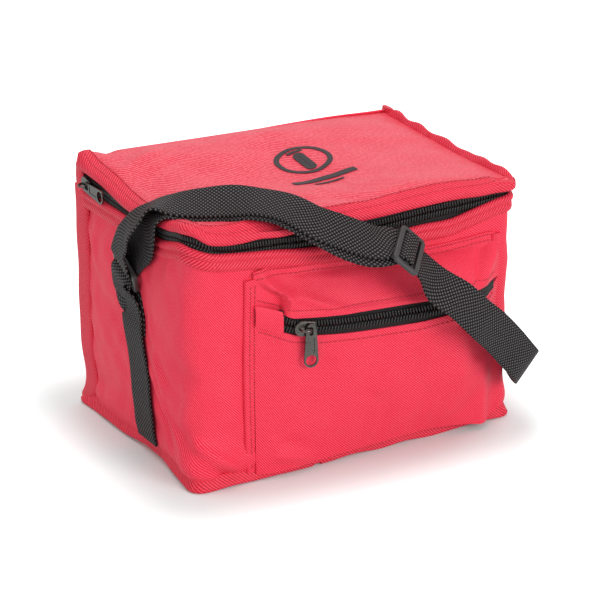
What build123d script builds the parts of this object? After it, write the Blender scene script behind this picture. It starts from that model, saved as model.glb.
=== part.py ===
from build123d import *
from math import cos, radians, sin
import os

# Soft-sided insulated transport box: a padded body and a padded lid, both of coated twill over
# foam, closed by a coil zip round three sides; a zipped pocket on the front; a webbing shoulder
# strap between two side loops. Millimetres, +Z up, front faces -Y, origin at the base's centre.

# ---------------------------------------------------------------- driving dimensions
bag_width = 222.0            # outside, left to right
bag_depth = 152.0            # outside, front to back
rim_height = 147.0           # top of the body's wall, under the zip
corner_radius = 14.0         # upright front edges

panel_thick = 1.0            # outer cloth
foam_thick = 5.0             # insulating foam sheet
lid_foam_thick = 4.05        # the lid's is thinner
liner_thick = 0.6            # wipe-clean inner film
cloth_gap = 0.3              # air between plies that lie side by side

binding_thick = 1.4          # folded tape over a raw edge, one side
binding_height = 10.0        # width of that tape
base_binding_thick = 3.0     # the base seam stands further out
rear_fin = 5.0               # rear corner seams stand out backwards
rear_binding_depth = 10.0    # their tape along the side panel

tape_thick = 0.8             # zip tape
coil_height = 3.4            # one coil row, across the chain
coil_thick = 1.9             # one coil row, outwards
coil_split = 1.3             # between the two rows, where the slider's post runs
zip_clearance = 0.55         # main zip's lower coil above the rim's tape
zip_end_inset = 10.0         # both ends of the main zip, in front of the bag's back
stop_length = 3.0            # metal end stop

pocket_inset_left = 36.0     # seams of the pocket, from the bag's sides
pocket_inset_right = 9.5
pocket_drop = 14.0           # its upper seam, below the rim
pocket_flange = 6.0          # pressed seam strip along each upright seam
pocket_zip_height = 98.0     # centre of the pocket zip
pocket_tape_height = 13.2    # both tapes together
pocket_bulge_left = 7.0      # how far the zip stands off the front panel, left end of its run
pocket_bulge_right = 28.0    # and right end
pocket_run_inset_left = 24.0   # ends of the zip's straight run, from those seams
pocket_run_inset_right = 21.5
pocket_turn = 9.0            # radius where that run turns to the seams
pocket_end_bulge = 3.0       # how far the lower panel stands off at the base
coil_start = 2.5             # the pocket's coils start here, clear of the end tab
end_tab_width = 20.0         # cloth tab over the closed end of the pocket zip
end_tab_height = 17.0
pocket_slider_parked = 8.5   # the pocket's slider, from the left end of the run
main_slider_back = 5.0       # the main slider's centre, in front of the zip's end

slider_length = 13.0         # along the zip
slider_width = 9.8
slider_tail = 7.0            # narrow end
slider_inner_width = 7.6     # plate behind the chain
slider_plate = 1.1
slider_gap = 0.8             # plate to coil
post_thick = 0.7             # between the coil rows
post_length = 3.5
bail_radius = 3.2            # wire arch that holds the tab, to the wire's centre
bail_wire = 0.75             # its wire, radius
bail_rise = 1.1              # straight feet under the arch
tab_span = 20.3              # eye to hole, centres
tab_eye = 1.3                # radius of the eye round the bail
tab_eye_slot = 3.0           # and its length towards the hole
tab_eye_outer = 3.2          # outside radius at the eye
tab_hole = 3.4               # radius of the round hole at the free end
tab_end = 4.6                # outside radius there
tab_thick = 1.2
tab_recess = 0.3             # sunk panel in the tab's face

strap_width = 25.0
strap_thick = 1.4
strap_layer_gap = 0.5        # between the two layers of the strap
strap_end_straight = 4.0     # straight webbing on each side of a break between two lengths
ring_length = 33.0           # loop that the strap runs through
ring_height = 15.5
ring_bar = 3.4
ring_thick = 3.2
ring_drop = 32.5             # centre of the bar held by the side webbing, below the rim
ring_seat_y = 4.0
ring_turn_left = 25.0        # degrees, turned in its plane by the strap's pull
ring_lean_left = 15.0        # degrees, leans out over the rim
ring_turn_right = -20.0
ring_lean_right = 30.0
anchor_thick = 1.4
anchor_foot_y = -14.0        # middle of the side webbing at the base
anchor_leg = 8.0             # its loop's legs under the bar
bar_gap = 0.7                # webbing to bar

adjuster_length = 19.0       # along the strap
adjuster_width = 33.0
adjuster_bar = 3.0
adjuster_thick = 2.6
adjuster_corner = 3.5
adjuster_x = 19.5            # its centre
adjuster_stand_off = 27.0    # in front of the front panel
adjuster_drop = 22.7         # and how far that is below the lid's top
adjuster_along = (0.663, -0.325, -0.676)  # down the strap
adjuster_across = (0.631, 0.725, 0.272)
adjuster_slack = 10.0        # how far it slides up the strap

print_thick = 0.3            # transfer print on the lid
print_centre_x = 17.0
print_centre_y = 14.0
print_ring_radius = 17.0
print_line = 2.2

# ---------------------------------------------------------------- worked-out places
row_inner = coil_split / 2                   # each coil row starts here, from the zip's centre
row_outer = row_inner + coil_height
zip_height = rim_height + binding_thick + zip_clearance + row_outer    # centre of the main zip
lid_underside = zip_height + row_outer + cloth_gap
lid_liner_top = lid_underside + liner_thick
lid_height = lid_liner_top + lid_foam_thick + panel_thick              # top of the lid's cloth
pocket_top = rim_height - pocket_drop
ring_seat_height = rim_height - ring_drop
front_y = -bag_depth / 2
rear_y = bag_depth / 2
side_x = bag_width / 2
zip_rear = rear_y - zip_end_inset
pocket_left = pocket_inset_left - side_x
pocket_right = side_x - pocket_inset_right
pocket_run_left = pocket_left + pocket_run_inset_left
pocket_run_right = pocket_right - pocket_run_inset_right
pocket_slider_x = pocket_run_left + pocket_slider_parked
adjuster_place = (adjuster_x, front_y - adjuster_stand_off, lid_height - adjuster_drop)
tape_inset = panel_thick                     # the zip tape is sewn behind the cloth
foam_inset = tape_inset + tape_thick
liner_inset = foam_inset + foam_thick
hollow_inset = liner_inset + liner_thick
floor_top = panel_thick + foam_thick
foam_rear = rear_y - panel_thick - foam_thick
hinge_low = rim_height + 2 * binding_thick   # top edge of the back panel


def bag_plan(inset, rear):
    """Face of the bag seen from above, inset from the cloth; round front corners, square rear."""
    half_width, front, radius = side_x - inset, front_y + inset, corner_radius - inset
    with BuildSketch() as plan:
        with BuildLine():
            Polyline(
                (-half_width, front + radius), (-half_width, rear),
                (half_width, rear), (half_width, front + radius),
            )
            CenterArc((half_width - radius, front + radius), radius, 0, -90)
            Line((half_width - radius, front), (-half_width + radius, front))
            CenterArc((-half_width + radius, front + radius), radius, -90, -90)
        make_face()
    return plan.sketch


def wall_plan(outer, inner, rear):
    """Left, front and right wall between two insets, open at the back."""
    with BuildSketch() as plan:
        add(bag_plan(outer, rear))
        add(bag_plan(inner, rear + bag_depth), mode=Mode.SUBTRACT)
    return plan.sketch


def save(name, label):
    """Label one finished piece and write its file."""
    name.part.label = label
    export_step(name.part, f"parts/{label}.step")


os.makedirs("parts", exist_ok=True)

# ---------------------------------------------------------------- body: cloth, foam and liner
with BuildPart() as bottom_panel:
    with BuildSketch(Plane.XY):
        add(bag_plan(0, rear_y))
    extrude(amount=panel_thick)
save(bottom_panel, "bottom_panel")

with BuildPart() as front_side_panel:
    with BuildSketch(Plane.XY.offset(panel_thick)):
        add(wall_plan(0, panel_thick, rear_y - panel_thick))
    extrude(amount=rim_height - panel_thick)
save(front_side_panel, "front_side_panel")

with BuildPart() as back_panel:
    with BuildSketch(Plane.XY.offset(panel_thick)):
        with Locations((0, rear_y - panel_thick / 2)):
            Rectangle(bag_width, panel_thick)
    extrude(amount=hinge_low - panel_thick)
save(back_panel, "back_panel")

with BuildPart() as bottom_foam:
    with BuildSketch(Plane.XY.offset(panel_thick)):
        add(bag_plan(foam_inset, rear_y - panel_thick))
    extrude(amount=foam_thick)
save(bottom_foam, "bottom_foam")

wall_foam_top = rim_height - cloth_gap
with BuildPart() as front_side_foam:
    with BuildSketch(Plane.XY.offset(floor_top)):
        add(wall_plan(foam_inset, liner_inset, foam_rear))
    extrude(amount=wall_foam_top - floor_top)
save(front_side_foam, "front_side_foam")

with BuildPart() as back_foam:
    with BuildSketch(Plane.XY.offset(floor_top)):
        with Locations((0, foam_rear + foam_thick / 2)):
            Rectangle(bag_width - 2 * foam_inset, foam_thick)
    extrude(amount=wall_foam_top - floor_top)
save(back_foam, "back_foam")

with BuildPart() as inner_liner:
    with BuildSketch(Plane.XY.offset(floor_top)):
        add(bag_plan(liner_inset, foam_rear))
    extrude(amount=wall_foam_top - floor_top)
    with BuildSketch(Plane.XY.offset(floor_top + liner_thick)):
        add(bag_plan(hollow_inset, foam_rear - liner_thick))
    extrude(amount=wall_foam_top, mode=Mode.SUBTRACT)
save(inner_liner, "inner_liner")

# ---------------------------------------------------------------- body: bindings over the seams
with BuildPart() as bottom_binding:
    with BuildSketch(Plane.XY):
        add(bag_plan(-base_binding_thick, rear_y + base_binding_thick))
        add(bag_plan(0, rear_y), mode=Mode.SUBTRACT)
    extrude(amount=binding_height)
save(bottom_binding, "bottom_binding")

rim_rear = rear_y - rear_binding_depth - cloth_gap
with BuildPart() as rim_binding:
    with BuildSketch(Plane.XY.offset(rim_height - binding_height)):
        add(wall_plan(-binding_thick, 0, rim_rear))
    extrude(amount=binding_height)
    with BuildSketch(Plane.XY.offset(rim_height)):
        add(wall_plan(-binding_thick, panel_thick, rim_rear))
    extrude(amount=binding_thick)
save(rim_binding, "rim_binding")

with BuildPart() as inner_rim_binding:
    with BuildSketch(Plane.XY.offset(rim_height - binding_height)):
        add(wall_plan(hollow_inset, hollow_inset + binding_thick, foam_rear - liner_thick))
    extrude(amount=binding_height - cloth_gap)
    with BuildSketch(Plane.XY.offset(wall_foam_top)):
        add(wall_plan(foam_inset, hollow_inset + binding_thick, foam_rear - liner_thick))
    extrude(amount=binding_thick)
save(inner_rim_binding, "inner_rim_binding")

for side, label in ((-1, "rear_binding_left"), (1, "rear_binding_right")):
    with BuildPart() as rear_binding:
        with BuildSketch(Plane.XY.offset(binding_height)):
            with Locations((side * (side_x + binding_thick / 2), rear_y - rear_binding_depth / 2)):
                Rectangle(binding_thick, rear_binding_depth)
            with Locations((side * (side_x + binding_thick - rear_fin / 2), rear_y + rear_fin / 2)):
                Rectangle(rear_fin, rear_fin)
        extrude(amount=rim_height - binding_height)
    save(rear_binding, label)

# ---------------------------------------------------------------- main zip, lower half on the body
tape_low = rim_height - binding_height
with BuildPart() as main_zip_tape_lower:
    with BuildSketch(Plane.XY.offset(tape_low)):
        add(wall_plan(tape_inset, tape_inset + tape_thick, zip_rear))
    extrude(amount=zip_height - row_inner - tape_low)
save(main_zip_tape_lower, "main_zip_tape_lower")

with BuildPart() as main_zip_coil_lower:
    with BuildSketch(Plane.XY.offset(zip_height - row_outer)):
        add(wall_plan(tape_inset - coil_thick, tape_inset, zip_rear))
    extrude(amount=coil_height)
save(main_zip_coil_lower, "main_zip_coil_lower")

for side, label in ((-1, "main_zip_stop_left"), (1, "main_zip_stop_right")):
    with BuildPart() as zip_stop:
        with BuildSketch(Plane.XY.offset(zip_height - row_outer)):
            with Locations((side * (side_x - tape_inset + coil_thick / 2), zip_rear + stop_length / 2)):
                Rectangle(coil_thick, stop_length)
            with Locations((side * (side_x - tape_inset - tape_thick / 2), zip_rear + stop_length / 2)):
                Rectangle(tape_thick, stop_length)
        extrude(amount=coil_height)
    save(zip_stop, label)

# ---------------------------------------------------------------- lid
lid_rear = rear_y - panel_thick - cloth_gap
with BuildPart() as lid_panel:
    with BuildSketch(Plane.XY.offset(lid_height - panel_thick)):
        add(bag_plan(0, lid_rear))
    extrude(amount=panel_thick)
save(lid_panel, "lid_panel")

with BuildPart() as lid_foam:
    with BuildSketch(Plane.XY.offset(lid_liner_top)):
        add(bag_plan(foam_inset, lid_rear - panel_thick))
    extrude(amount=lid_height - panel_thick - lid_liner_top)
save(lid_foam, "lid_foam")

with BuildPart() as lid_liner:
    with BuildSketch(Plane.XY.offset(lid_underside)):
        add(bag_plan(foam_inset, lid_rear - panel_thick))
    extrude(amount=liner_thick)
save(lid_liner, "lid_liner")

lid_binding_rear = rear_y - cloth_gap
with BuildPart() as lid_binding:
    with BuildSketch(Plane.XY.offset(lid_underside)):
        add(wall_plan(-binding_thick, 0, lid_binding_rear))
    extrude(amount=lid_height - lid_underside)
    with BuildSketch(Plane.XY.offset(lid_height)):
        add(wall_plan(-binding_thick, binding_height, lid_rear))
    extrude(amount=binding_thick)
save(lid_binding, "lid_binding")

with BuildPart() as main_zip_tape_upper:
    with BuildSketch(Plane.XY.offset(zip_height + row_inner)):
        add(wall_plan(tape_inset, tape_inset + tape_thick, zip_rear))
    extrude(amount=lid_height - panel_thick - zip_height - row_inner)
save(main_zip_tape_upper, "main_zip_tape_upper")

with BuildPart() as main_zip_coil_upper:
    with BuildSketch(Plane.XY.offset(zip_height + row_inner)):
        add(wall_plan(tape_inset - coil_thick, tape_inset, zip_rear))
    extrude(amount=coil_height)
save(main_zip_coil_upper, "main_zip_coil_upper")

# the cloth of the back runs on into the lid and folds here
with BuildPart() as lid_hinge_cloth:
    with BuildSketch(Plane.XY.offset(hinge_low)):
        with Locations((0, rear_y - panel_thick / 2)):
            Rectangle(bag_width - 2 * binding_thick, panel_thick)
    extrude(amount=lid_height - hinge_low)
save(lid_hinge_cloth, "lid_hinge_cloth")

# plain transfer print: a ring with a capped tube in it, and a bar below
with BuildPart() as lid_print:
    with BuildSketch(Plane.XY.offset(lid_height)):
        with Locations((print_centre_x, print_centre_y)):
            Circle(print_ring_radius)
            Circle(print_ring_radius - print_line, mode=Mode.SUBTRACT)
            SlotOverall(1.2 * print_ring_radius, 3 * print_line, rotation=90)
            SlotOverall(1.2 * print_ring_radius - print_line, print_line, rotation=90,
                        mode=Mode.SUBTRACT)
        with Locations((print_centre_x, print_centre_y - print_ring_radius - 2 * print_line)):
            Rectangle(2 * print_ring_radius, print_line)
    extrude(amount=print_thick)
save(lid_print, "lid_print")

# ---------------------------------------------------------------- front pocket
pocket_seam_left = pocket_left + pocket_flange
pocket_seam_right = pocket_right - pocket_flange
pocket_cloth_y = front_y - panel_thick + panel_thick / 4   # middle of the cloth at the seams


def pocket_band(left_bulge, right_bulge, thickness):
    """Plan of the pocket's cloth: out from the left seam, straight across, back to the right."""
    with BuildSketch() as band:
        with BuildLine() as route:
            FilletPolyline(
                (pocket_seam_left, pocket_cloth_y),
                (pocket_run_left, pocket_cloth_y - left_bulge),
                (pocket_run_right, pocket_cloth_y - right_bulge),
                (pocket_seam_right, pocket_cloth_y),
                radius=pocket_turn,
            )
        trace(route.edges(), line_width=thickness)
    return band.sketch


pocket_zip_low = pocket_zip_height - pocket_tape_height / 2
pocket_zip_high = pocket_zip_height + pocket_tape_height / 2
pocket_base = binding_height + cloth_gap
with BuildPart() as pocket_lower_panel:
    with BuildSketch(Plane.XY.offset(pocket_base)):
        add(pocket_band(pocket_end_bulge, pocket_end_bulge, panel_thick))
    with BuildSketch(Plane.XY.offset(pocket_zip_low)):
        add(pocket_band(pocket_bulge_left, pocket_bulge_right, panel_thick))
    loft(ruled=True)
save(pocket_lower_panel, "pocket_lower_panel")

with BuildPart() as pocket_upper_panel:
    with BuildSketch(Plane.XY.offset(pocket_zip_high)):
        add(pocket_band(pocket_bulge_left, pocket_bulge_right, panel_thick))
    with BuildSketch(Plane.XY.offset(pocket_top)):
        add(pocket_band(panel_thick, panel_thick, panel_thick))
    loft(ruled=True)
save(pocket_upper_panel, "pocket_upper_panel")

for label, low, high in (
    ("pocket_zip_tape_lower", pocket_zip_low, pocket_zip_height - row_inner),
    ("pocket_zip_tape_upper", pocket_zip_height + row_inner, pocket_zip_high),
):
    with BuildPart() as pocket_tape:
        with BuildSketch(Plane.XY.offset(low)):
            add(pocket_band(pocket_bulge_left, pocket_bulge_right, tape_thick))
        extrude(amount=high - low)
    save(pocket_tape, label)

# pressed seam strips down both sides of the pocket
for label, edge in (
    ("pocket_seam_strip_left", pocket_left),
    ("pocket_seam_strip_right", pocket_seam_right + panel_thick),
):
    with BuildPart() as seam_strip:
        with BuildSketch(Plane.XY.offset(pocket_base)):
            with Locations((edge, front_y)):
                Rectangle(pocket_flange - panel_thick, panel_thick, align=(Align.MIN, Align.MAX))
        extrude(amount=pocket_top - pocket_base)
    save(seam_strip, label)

# the straight run of the pocket zip, in a frame of its own: X to the right, Z outwards
run_start = Vector(pocket_run_left, pocket_cloth_y - pocket_bulge_left, pocket_zip_height)
run_end = Vector(pocket_run_right, pocket_cloth_y - pocket_bulge_right, pocket_zip_height)
run_along = (run_end - run_start).normalized()
run_out = Vector(run_along.Y, -run_along.X, 0)
run_length = (run_end - run_start).length - coil_start - pocket_turn
pocket_zip_plane = Plane(run_start + run_out * (tape_thick / 2), x_dir=run_along, z_dir=run_out)
for label, centre in (
    ("pocket_zip_coil_lower", -(row_inner + row_outer) / 2),
    ("pocket_zip_coil_upper", (row_inner + row_outer) / 2),
):
    with BuildPart() as pocket_coil:
        with BuildSketch(pocket_zip_plane):
            with Locations((coil_start, centre)):
                Rectangle(run_length, coil_height, align=(Align.MIN, Align.CENTER))
        extrude(amount=coil_thick)
    save(pocket_coil, label)

# cloth tab sewn over the closed end of the pocket zip
seam_start = Vector(pocket_seam_left, pocket_cloth_y, pocket_zip_height)
seam_along = (run_start - seam_start).normalized()
seam_out = Vector(seam_along.Y, -seam_along.X, 0)
end_tab_plane = Plane(seam_start + seam_out * (tape_thick / 2 + cloth_gap), x_dir=seam_along,
                      z_dir=seam_out)
with BuildPart() as pocket_end_tab:
    with BuildSketch(end_tab_plane):
        Rectangle(end_tab_width, end_tab_height, align=(Align.MIN, Align.CENTER))
    extrude(amount=panel_thick)
save(pocket_end_tab, "pocket_end_tab")


# ---------------------------------------------------------------- zip sliders and their tabs
plate_inner = coil_thick + slider_gap        # outer plate of a slider, from the tape's face
plate_outer = plate_inner + slider_plate
eye_height = plate_outer + bail_rise         # the bail's arch starts here


def slider_body(place):
    """Slider round a chain: X of the plane opens the zip, Z points out, origin on the tape."""
    wide_radius = slider_width / 2
    with BuildPart() as slider:
        with BuildSketch(place.offset(plate_inner)):
            with Locations((-slider_length / 2 + wide_radius, 0)):
                Circle(wide_radius)
            with Locations((slider_length / 2 - slider_tail / 2, 0)):
                Rectangle(slider_tail, slider_tail)
            make_hull()
        extrude(amount=slider_plate)
        fillet(slider.faces().sort_by(Axis(place.origin, place.z_dir))[-1].edges(), slider_plate / 3)
        with BuildSketch(place.offset(-tape_thick - slider_gap - slider_plate)):
            RectangleRounded(slider_length - 2 * slider_plate, slider_inner_width, slider_plate)
        extrude(amount=slider_plate)
        with BuildSketch(place.offset(-tape_thick - slider_gap)):
            with Locations((-slider_length / 2 + slider_plate + post_length / 2, 0)):
                Rectangle(post_length, post_thick)
        extrude(amount=plate_inner + tape_thick + slider_gap)
        side = Plane(place.origin, x_dir=place.x_dir, z_dir=-place.y_dir)
        with BuildLine(side) as bail:
            foot_right = Line((bail_radius, plate_outer - bail_wire / 2), (bail_radius, eye_height))
            arch = CenterArc((0, eye_height), bail_radius, 0, 180)
            Line(arch @ 1, (-bail_radius, plate_outer - bail_wire / 2))
        with BuildSketch(Plane(foot_right @ 0, z_dir=foot_right % 0)):
            Circle(bail_wire)
        sweep(path=bail.wire())
    return slider


def pull_tab(place):
    """Pull tab: the eye is at the plane's origin, the tab runs along its X, flat across its Z."""
    with BuildPart() as tab:
        with BuildSketch(place.offset(-tab_thick / 2)):
            Circle(tab_eye_outer)
            with Locations((tab_span, 0)):
                Circle(tab_end)
            make_hull()
            with Locations((tab_span, 0)):
                Circle(tab_hole, mode=Mode.SUBTRACT)
            with Locations((tab_eye_slot / 2, 0)):
                SlotCenterToCenter(tab_eye_slot, 2 * tab_eye, mode=Mode.SUBTRACT)
        extrude(amount=tab_thick)
        panel_start = tab_eye_slot + 2 * tab_eye
        panel_end = tab_span - tab_end
        with BuildSketch(place.offset(tab_thick / 2)):
            with Locations(((panel_start + panel_end) / 2, 0)):
                RectangleRounded(panel_end - panel_start, 2 * tab_eye_outer - 2 * tab_thick,
                                 tab_thick / 2)
        extrude(amount=-tab_recess, mode=Mode.SUBTRACT)
    return tab


main_slider_y = zip_rear - main_slider_back
main_slider_plane = Plane((-side_x + tape_inset, main_slider_y, zip_height), x_dir=(0, -1, 0),
                          z_dir=(-1, 0, 0))
main_slider = slider_body(main_slider_plane)
save(main_slider, "main_slider")

# parked lying forwards along the zip, with the bail's foot in its eye
main_tab_plane = Plane(main_slider_plane.from_local_coords((bail_radius, 0, eye_height)),
                       x_dir=main_slider_plane.x_dir, z_dir=main_slider_plane.z_dir)
main_pull_tab = pull_tab(main_tab_plane)
save(main_pull_tab, "main_pull_tab")

slider_along = (pocket_slider_x - run_start.X) / run_along.X
pocket_slider_plane = Plane(pocket_zip_plane.from_local_coords((slider_along, 0, 0)),
                            x_dir=run_along, z_dir=run_out)
pocket_slider = slider_body(pocket_slider_plane)
save(pocket_slider, "pocket_slider")

# hangs down from the bail's right foot
pocket_tab_plane = Plane(pocket_slider_plane.from_local_coords((bail_radius, 0, eye_height)),
                         x_dir=(0, 0, -1), z_dir=run_out)
pocket_pull_tab = pull_tab(pocket_tab_plane)
save(pocket_pull_tab, "pocket_pull_tab")

# ---------------------------------------------------------------- side webbing and strap loops
ring_reach = ring_height - ring_bar          # between the centres of the two bars
loop_inner = ring_thick / 2 + bar_gap        # webbing round a bar, inside radius
loop_outer = loop_inner + anchor_thick
seat_x = side_x + loop_outer                 # centre of the seated bar, from the middle
anchor_foot_z = binding_height + cloth_gap

for side, name, turn, lean, up in (
    (-1, "left", ring_turn_left, ring_lean_left, 1),
    (1, "right", ring_turn_right, ring_lean_right, -1),
):
    seat = Vector(side * seat_x, ring_seat_y, ring_seat_height)
    along = Vector(0, cos(radians(turn)), sin(radians(turn)))
    rise = Vector(0, -sin(radians(turn)), cos(radians(turn)))
    reach = rise * (up * cos(radians(lean))) + Vector(side * sin(radians(lean)), 0, 0)
    with BuildPart() as ring:
        with BuildSketch(Plane(seat + reach * (ring_reach / 2), x_dir=along,
                               z_dir=along.cross(reach))):
            RectangleRounded(ring_length, ring_height, ring_bar)
            RectangleRounded(ring_length - 2 * ring_bar, ring_height - 2 * ring_bar,
                             ring_bar / 3, mode=Mode.SUBTRACT)
        extrude(amount=ring_thick / 2, both=True)
        fillet(ring.edges().group_by(Axis(seat, along.cross(reach)))[0], ring_thick / 4)
        fillet(ring.edges().group_by(Axis(seat, along.cross(reach)))[-1], ring_thick / 4)
    save(ring, f"strap_ring_{name}")

    # webbing from the base seam, over the seated bar, back down and sewn to itself
    leg_foot = seat - rise * anchor_leg
    with BuildPart() as anchor:
        with BuildSketch(Plane((side * side_x, 0, 0), x_dir=(0, 1, 0), z_dir=(1, 0, 0))):
            with BuildLine():
                Polyline(
                    (anchor_foot_y - strap_width / 2, anchor_foot_z),
                    (anchor_foot_y + strap_width / 2, anchor_foot_z),
                    tuple(leg_foot + along * (strap_width / 2))[1:],
                    tuple(leg_foot - along * (strap_width / 2))[1:],
                    close=True,
                )
            make_face()
        extrude(amount=side * anchor_thick)
        with BuildSketch(Plane(seat, x_dir=(side, 0, 0), z_dir=along * -side)):
            Circle(loop_outer)
            Circle(loop_inner, mode=Mode.SUBTRACT)
            Rectangle(2 * loop_outer, loop_outer, align=(Align.CENTER, Align.MAX),
                      mode=Mode.SUBTRACT)
            Rectangle(2 * loop_outer, anchor_leg, align=(Align.CENTER, Align.MAX))
            Rectangle(2 * loop_inner, anchor_leg - anchor_thick,
                      align=(Align.CENTER, Align.MAX), mode=Mode.SUBTRACT)
        extrude(amount=strap_width / 2, both=True)
    save(anchor, f"strap_anchor_{name}")


# ---------------------------------------------------------------- shoulder strap and its adjuster
def strap_planes(stations):
    """Planes across the strap: X along its width, Y out of its face, Z along its run."""
    centres = [Vector(*centre) for centre, across in stations]
    planes = []
    for index, (centre, across) in enumerate(stations):
        run = (centres[min(index + 1, len(stations) - 1)] - centres[max(index - 1, 0)]).normalized()
        width = Vector(*across)
        planes.append(Plane(centres[index], x_dir=width - run * width.dot(run), z_dir=run))
    return planes


def below(planes, depth):
    """The same planes moved down through the strap's thickness."""
    return [Plane(p.origin - p.y_dir * depth, x_dir=p.x_dir, z_dir=p.z_dir) for p in planes]


def ribbon(planes, thickness):
    """Webbing through a row of planes."""
    with BuildPart() as strip:
        for plane in planes:
            with BuildSketch(plane):
                Rectangle(strap_width, thickness)
        loft(ruled=True)
    return strip


adjuster_plane = Plane(adjuster_place, x_dir=adjuster_along,
                       z_dir=Vector(*adjuster_along).cross(Vector(*adjuster_across)))
strap_under_adjuster = adjuster_thick / 2 + cloth_gap + strap_thick / 2


def beside_adjuster(along):
    """Station on the straight stretch under the adjuster."""
    centre = adjuster_plane.from_local_coords((along, 0, -strap_under_adjuster))
    return tuple(centre), adjuster_across


# the strap's middle and the direction across it, from the lid's left edge to past the adjuster
strap_over_lid = [
    ((12.6 - side_x, -27.0, lid_height + 6.2), (0.70, 0.70, 0.08)),
    ((24.0 - side_x, -41.0, lid_height + 9.6), (0.60, 0.72, 0.34)),
    ((45.4 - side_x, front_y + 19.0, lid_height + 11.9), (0.42, 0.75, 0.51)),
    ((63.9 - side_x, front_y - 1.0, lid_height + 10.6), (0.40, 0.70, 0.58)),
    ((82.1 - side_x, front_y - 12.4, lid_height + 0.6), (0.63, 0.62, 0.47)),
    beside_adjuster(-adjuster_length / 2 - adjuster_slack - strap_end_straight - 1),
    beside_adjuster(-adjuster_length / 2 - adjuster_slack - 1),
    beside_adjuster(adjuster_length / 2 + 1),
]
strap_planes_over_lid = strap_planes(strap_over_lid)
shoulder_strap = ribbon(strap_planes_over_lid, strap_thick)
save(shoulder_strap, "shoulder_strap")

# second layer: the end that comes back from the left loop to the adjuster
layer_step = strap_thick + strap_layer_gap
strap_return_layer = ribbon(below(strap_planes_over_lid, layer_step), strap_thick)
save(strap_return_layer, "strap_return_layer")

# from past the adjuster, across the pocket, round the front right edge and up to the right loop
right_lean, right_turn = radians(ring_lean_right), radians(ring_turn_right)
right_bar = Vector(
    seat_x + ring_reach * sin(right_lean),
    ring_seat_y + ring_reach * sin(right_turn) * cos(right_lean),
    ring_seat_height - ring_reach * cos(right_turn) * cos(right_lean),
)
strap_right_run = [
    beside_adjuster(adjuster_length / 2 + 1 + cloth_gap),
    beside_adjuster(adjuster_length / 2 + 1 + strap_end_straight),
    ((side_x - 74.8, front_y - 34.4, 116.8), (0.74, 0.43, 0.52)),
    ((side_x - 62.5, front_y - 38.8, 106.8), (0.85, 0.28, 0.45)),
    ((side_x - 48.2, front_y - 39.6, 92.2), (0.90, 0.25, 0.34)),
    ((side_x - 33.6, front_y - 36.0, 78.5), (0.88, 0.17, 0.44)),
    ((side_x - 19.0, front_y - 31.6, 62.9), (0.88, 0.10, 0.47)),
    ((side_x - 3.6, front_y - 26.0, 45.6), (0.80, 0.15, 0.58)),
    ((side_x + 1.0, front_y - 22.6, 40.8), (0.80, 0.15, 0.58)),
    ((side_x + 3.6, front_y - 15.0, 38.5), (0.62, 0.0, 0.78)),
    ((side_x + 6.5, front_y + 1.0, 39.0), (0.25, -0.55, 0.80)),
    ((side_x + 8.0, front_y + 24.0, 52.0), (0.05, -0.75, 0.66)),
    ((side_x + 9.5, front_y + 48.0, 77.0), (0.0, -0.72, 0.69)),
    ((seat_x + ring_reach / 2 + loop_inner + strap_thick, -5.0, 100.0), (0.0, -0.85, 0.52)),
]
strap_leg_right = ribbon(strap_planes(strap_right_run), strap_thick)
save(strap_leg_right, "strap_leg_right")

# from the lid's left edge down round the left loop's upper bar, and back up as the second layer
left_lean, left_turn = radians(ring_lean_left), radians(ring_turn_left)
left_bar = Vector(
    -seat_x - ring_reach * sin(left_lean),
    ring_seat_y - ring_reach * sin(left_turn) * cos(left_lean),
    ring_seat_height + ring_reach * cos(left_turn) * cos(left_lean),
)
left_along = (0.0, cos(left_turn), sin(left_turn))
strap_turn_radius = ring_bar / 2 + bar_gap + strap_thick / 2


def round_left_bar(angle):
    """Station on the strap's turn under the left loop's upper bar; 0 is its outer side."""
    outward = Vector(-1, 0, 0)
    under = Vector(0, sin(left_turn), -cos(left_turn))
    centre = left_bar + (outward * cos(radians(angle)) + under * sin(radians(angle))) * strap_turn_radius
    return tuple(centre), left_along


def before_lid(back, depth):
    """Station straight before the strap's first one over the lid, in one of its two layers."""
    first = strap_planes_over_lid[0]
    return tuple(first.origin - first.z_dir * back - first.y_dir * depth), tuple(first.x_dir)


strap_left_turn = [
    before_lid(cloth_gap, 0),
    before_lid(strap_end_straight, 0),
    ((-side_x - 0.5, -17.0, lid_height + 8.0), (0.35, 0.93, 0.10)),
    ((-side_x - 8.0, -11.0, lid_height + 0.5), (0.10, 0.95, 0.28)),
    (tuple(left_bar + Vector(-4.2, -5.1, 21.9)), (0.05, 0.93, 0.36)),
    round_left_bar(0),
    round_left_bar(45),
    round_left_bar(90),
    round_left_bar(135),
    round_left_bar(180),
    (tuple(left_bar + Vector(1.2, -6.1, 12.9)), (0.0, 0.92, 0.39)),
    ((-side_x - 5.4, -18.5, lid_height - 1.0), (0.15, 0.93, 0.30)),
    ((0.4 - side_x, -20.5, lid_height + 5.2), (0.35, 0.93, 0.10)),
    before_lid(strap_end_straight, layer_step),
    before_lid(cloth_gap, layer_step),
]
strap_leg_left = ribbon(strap_planes(strap_left_turn), strap_thick)
save(strap_leg_left, "strap_leg_left")

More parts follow.
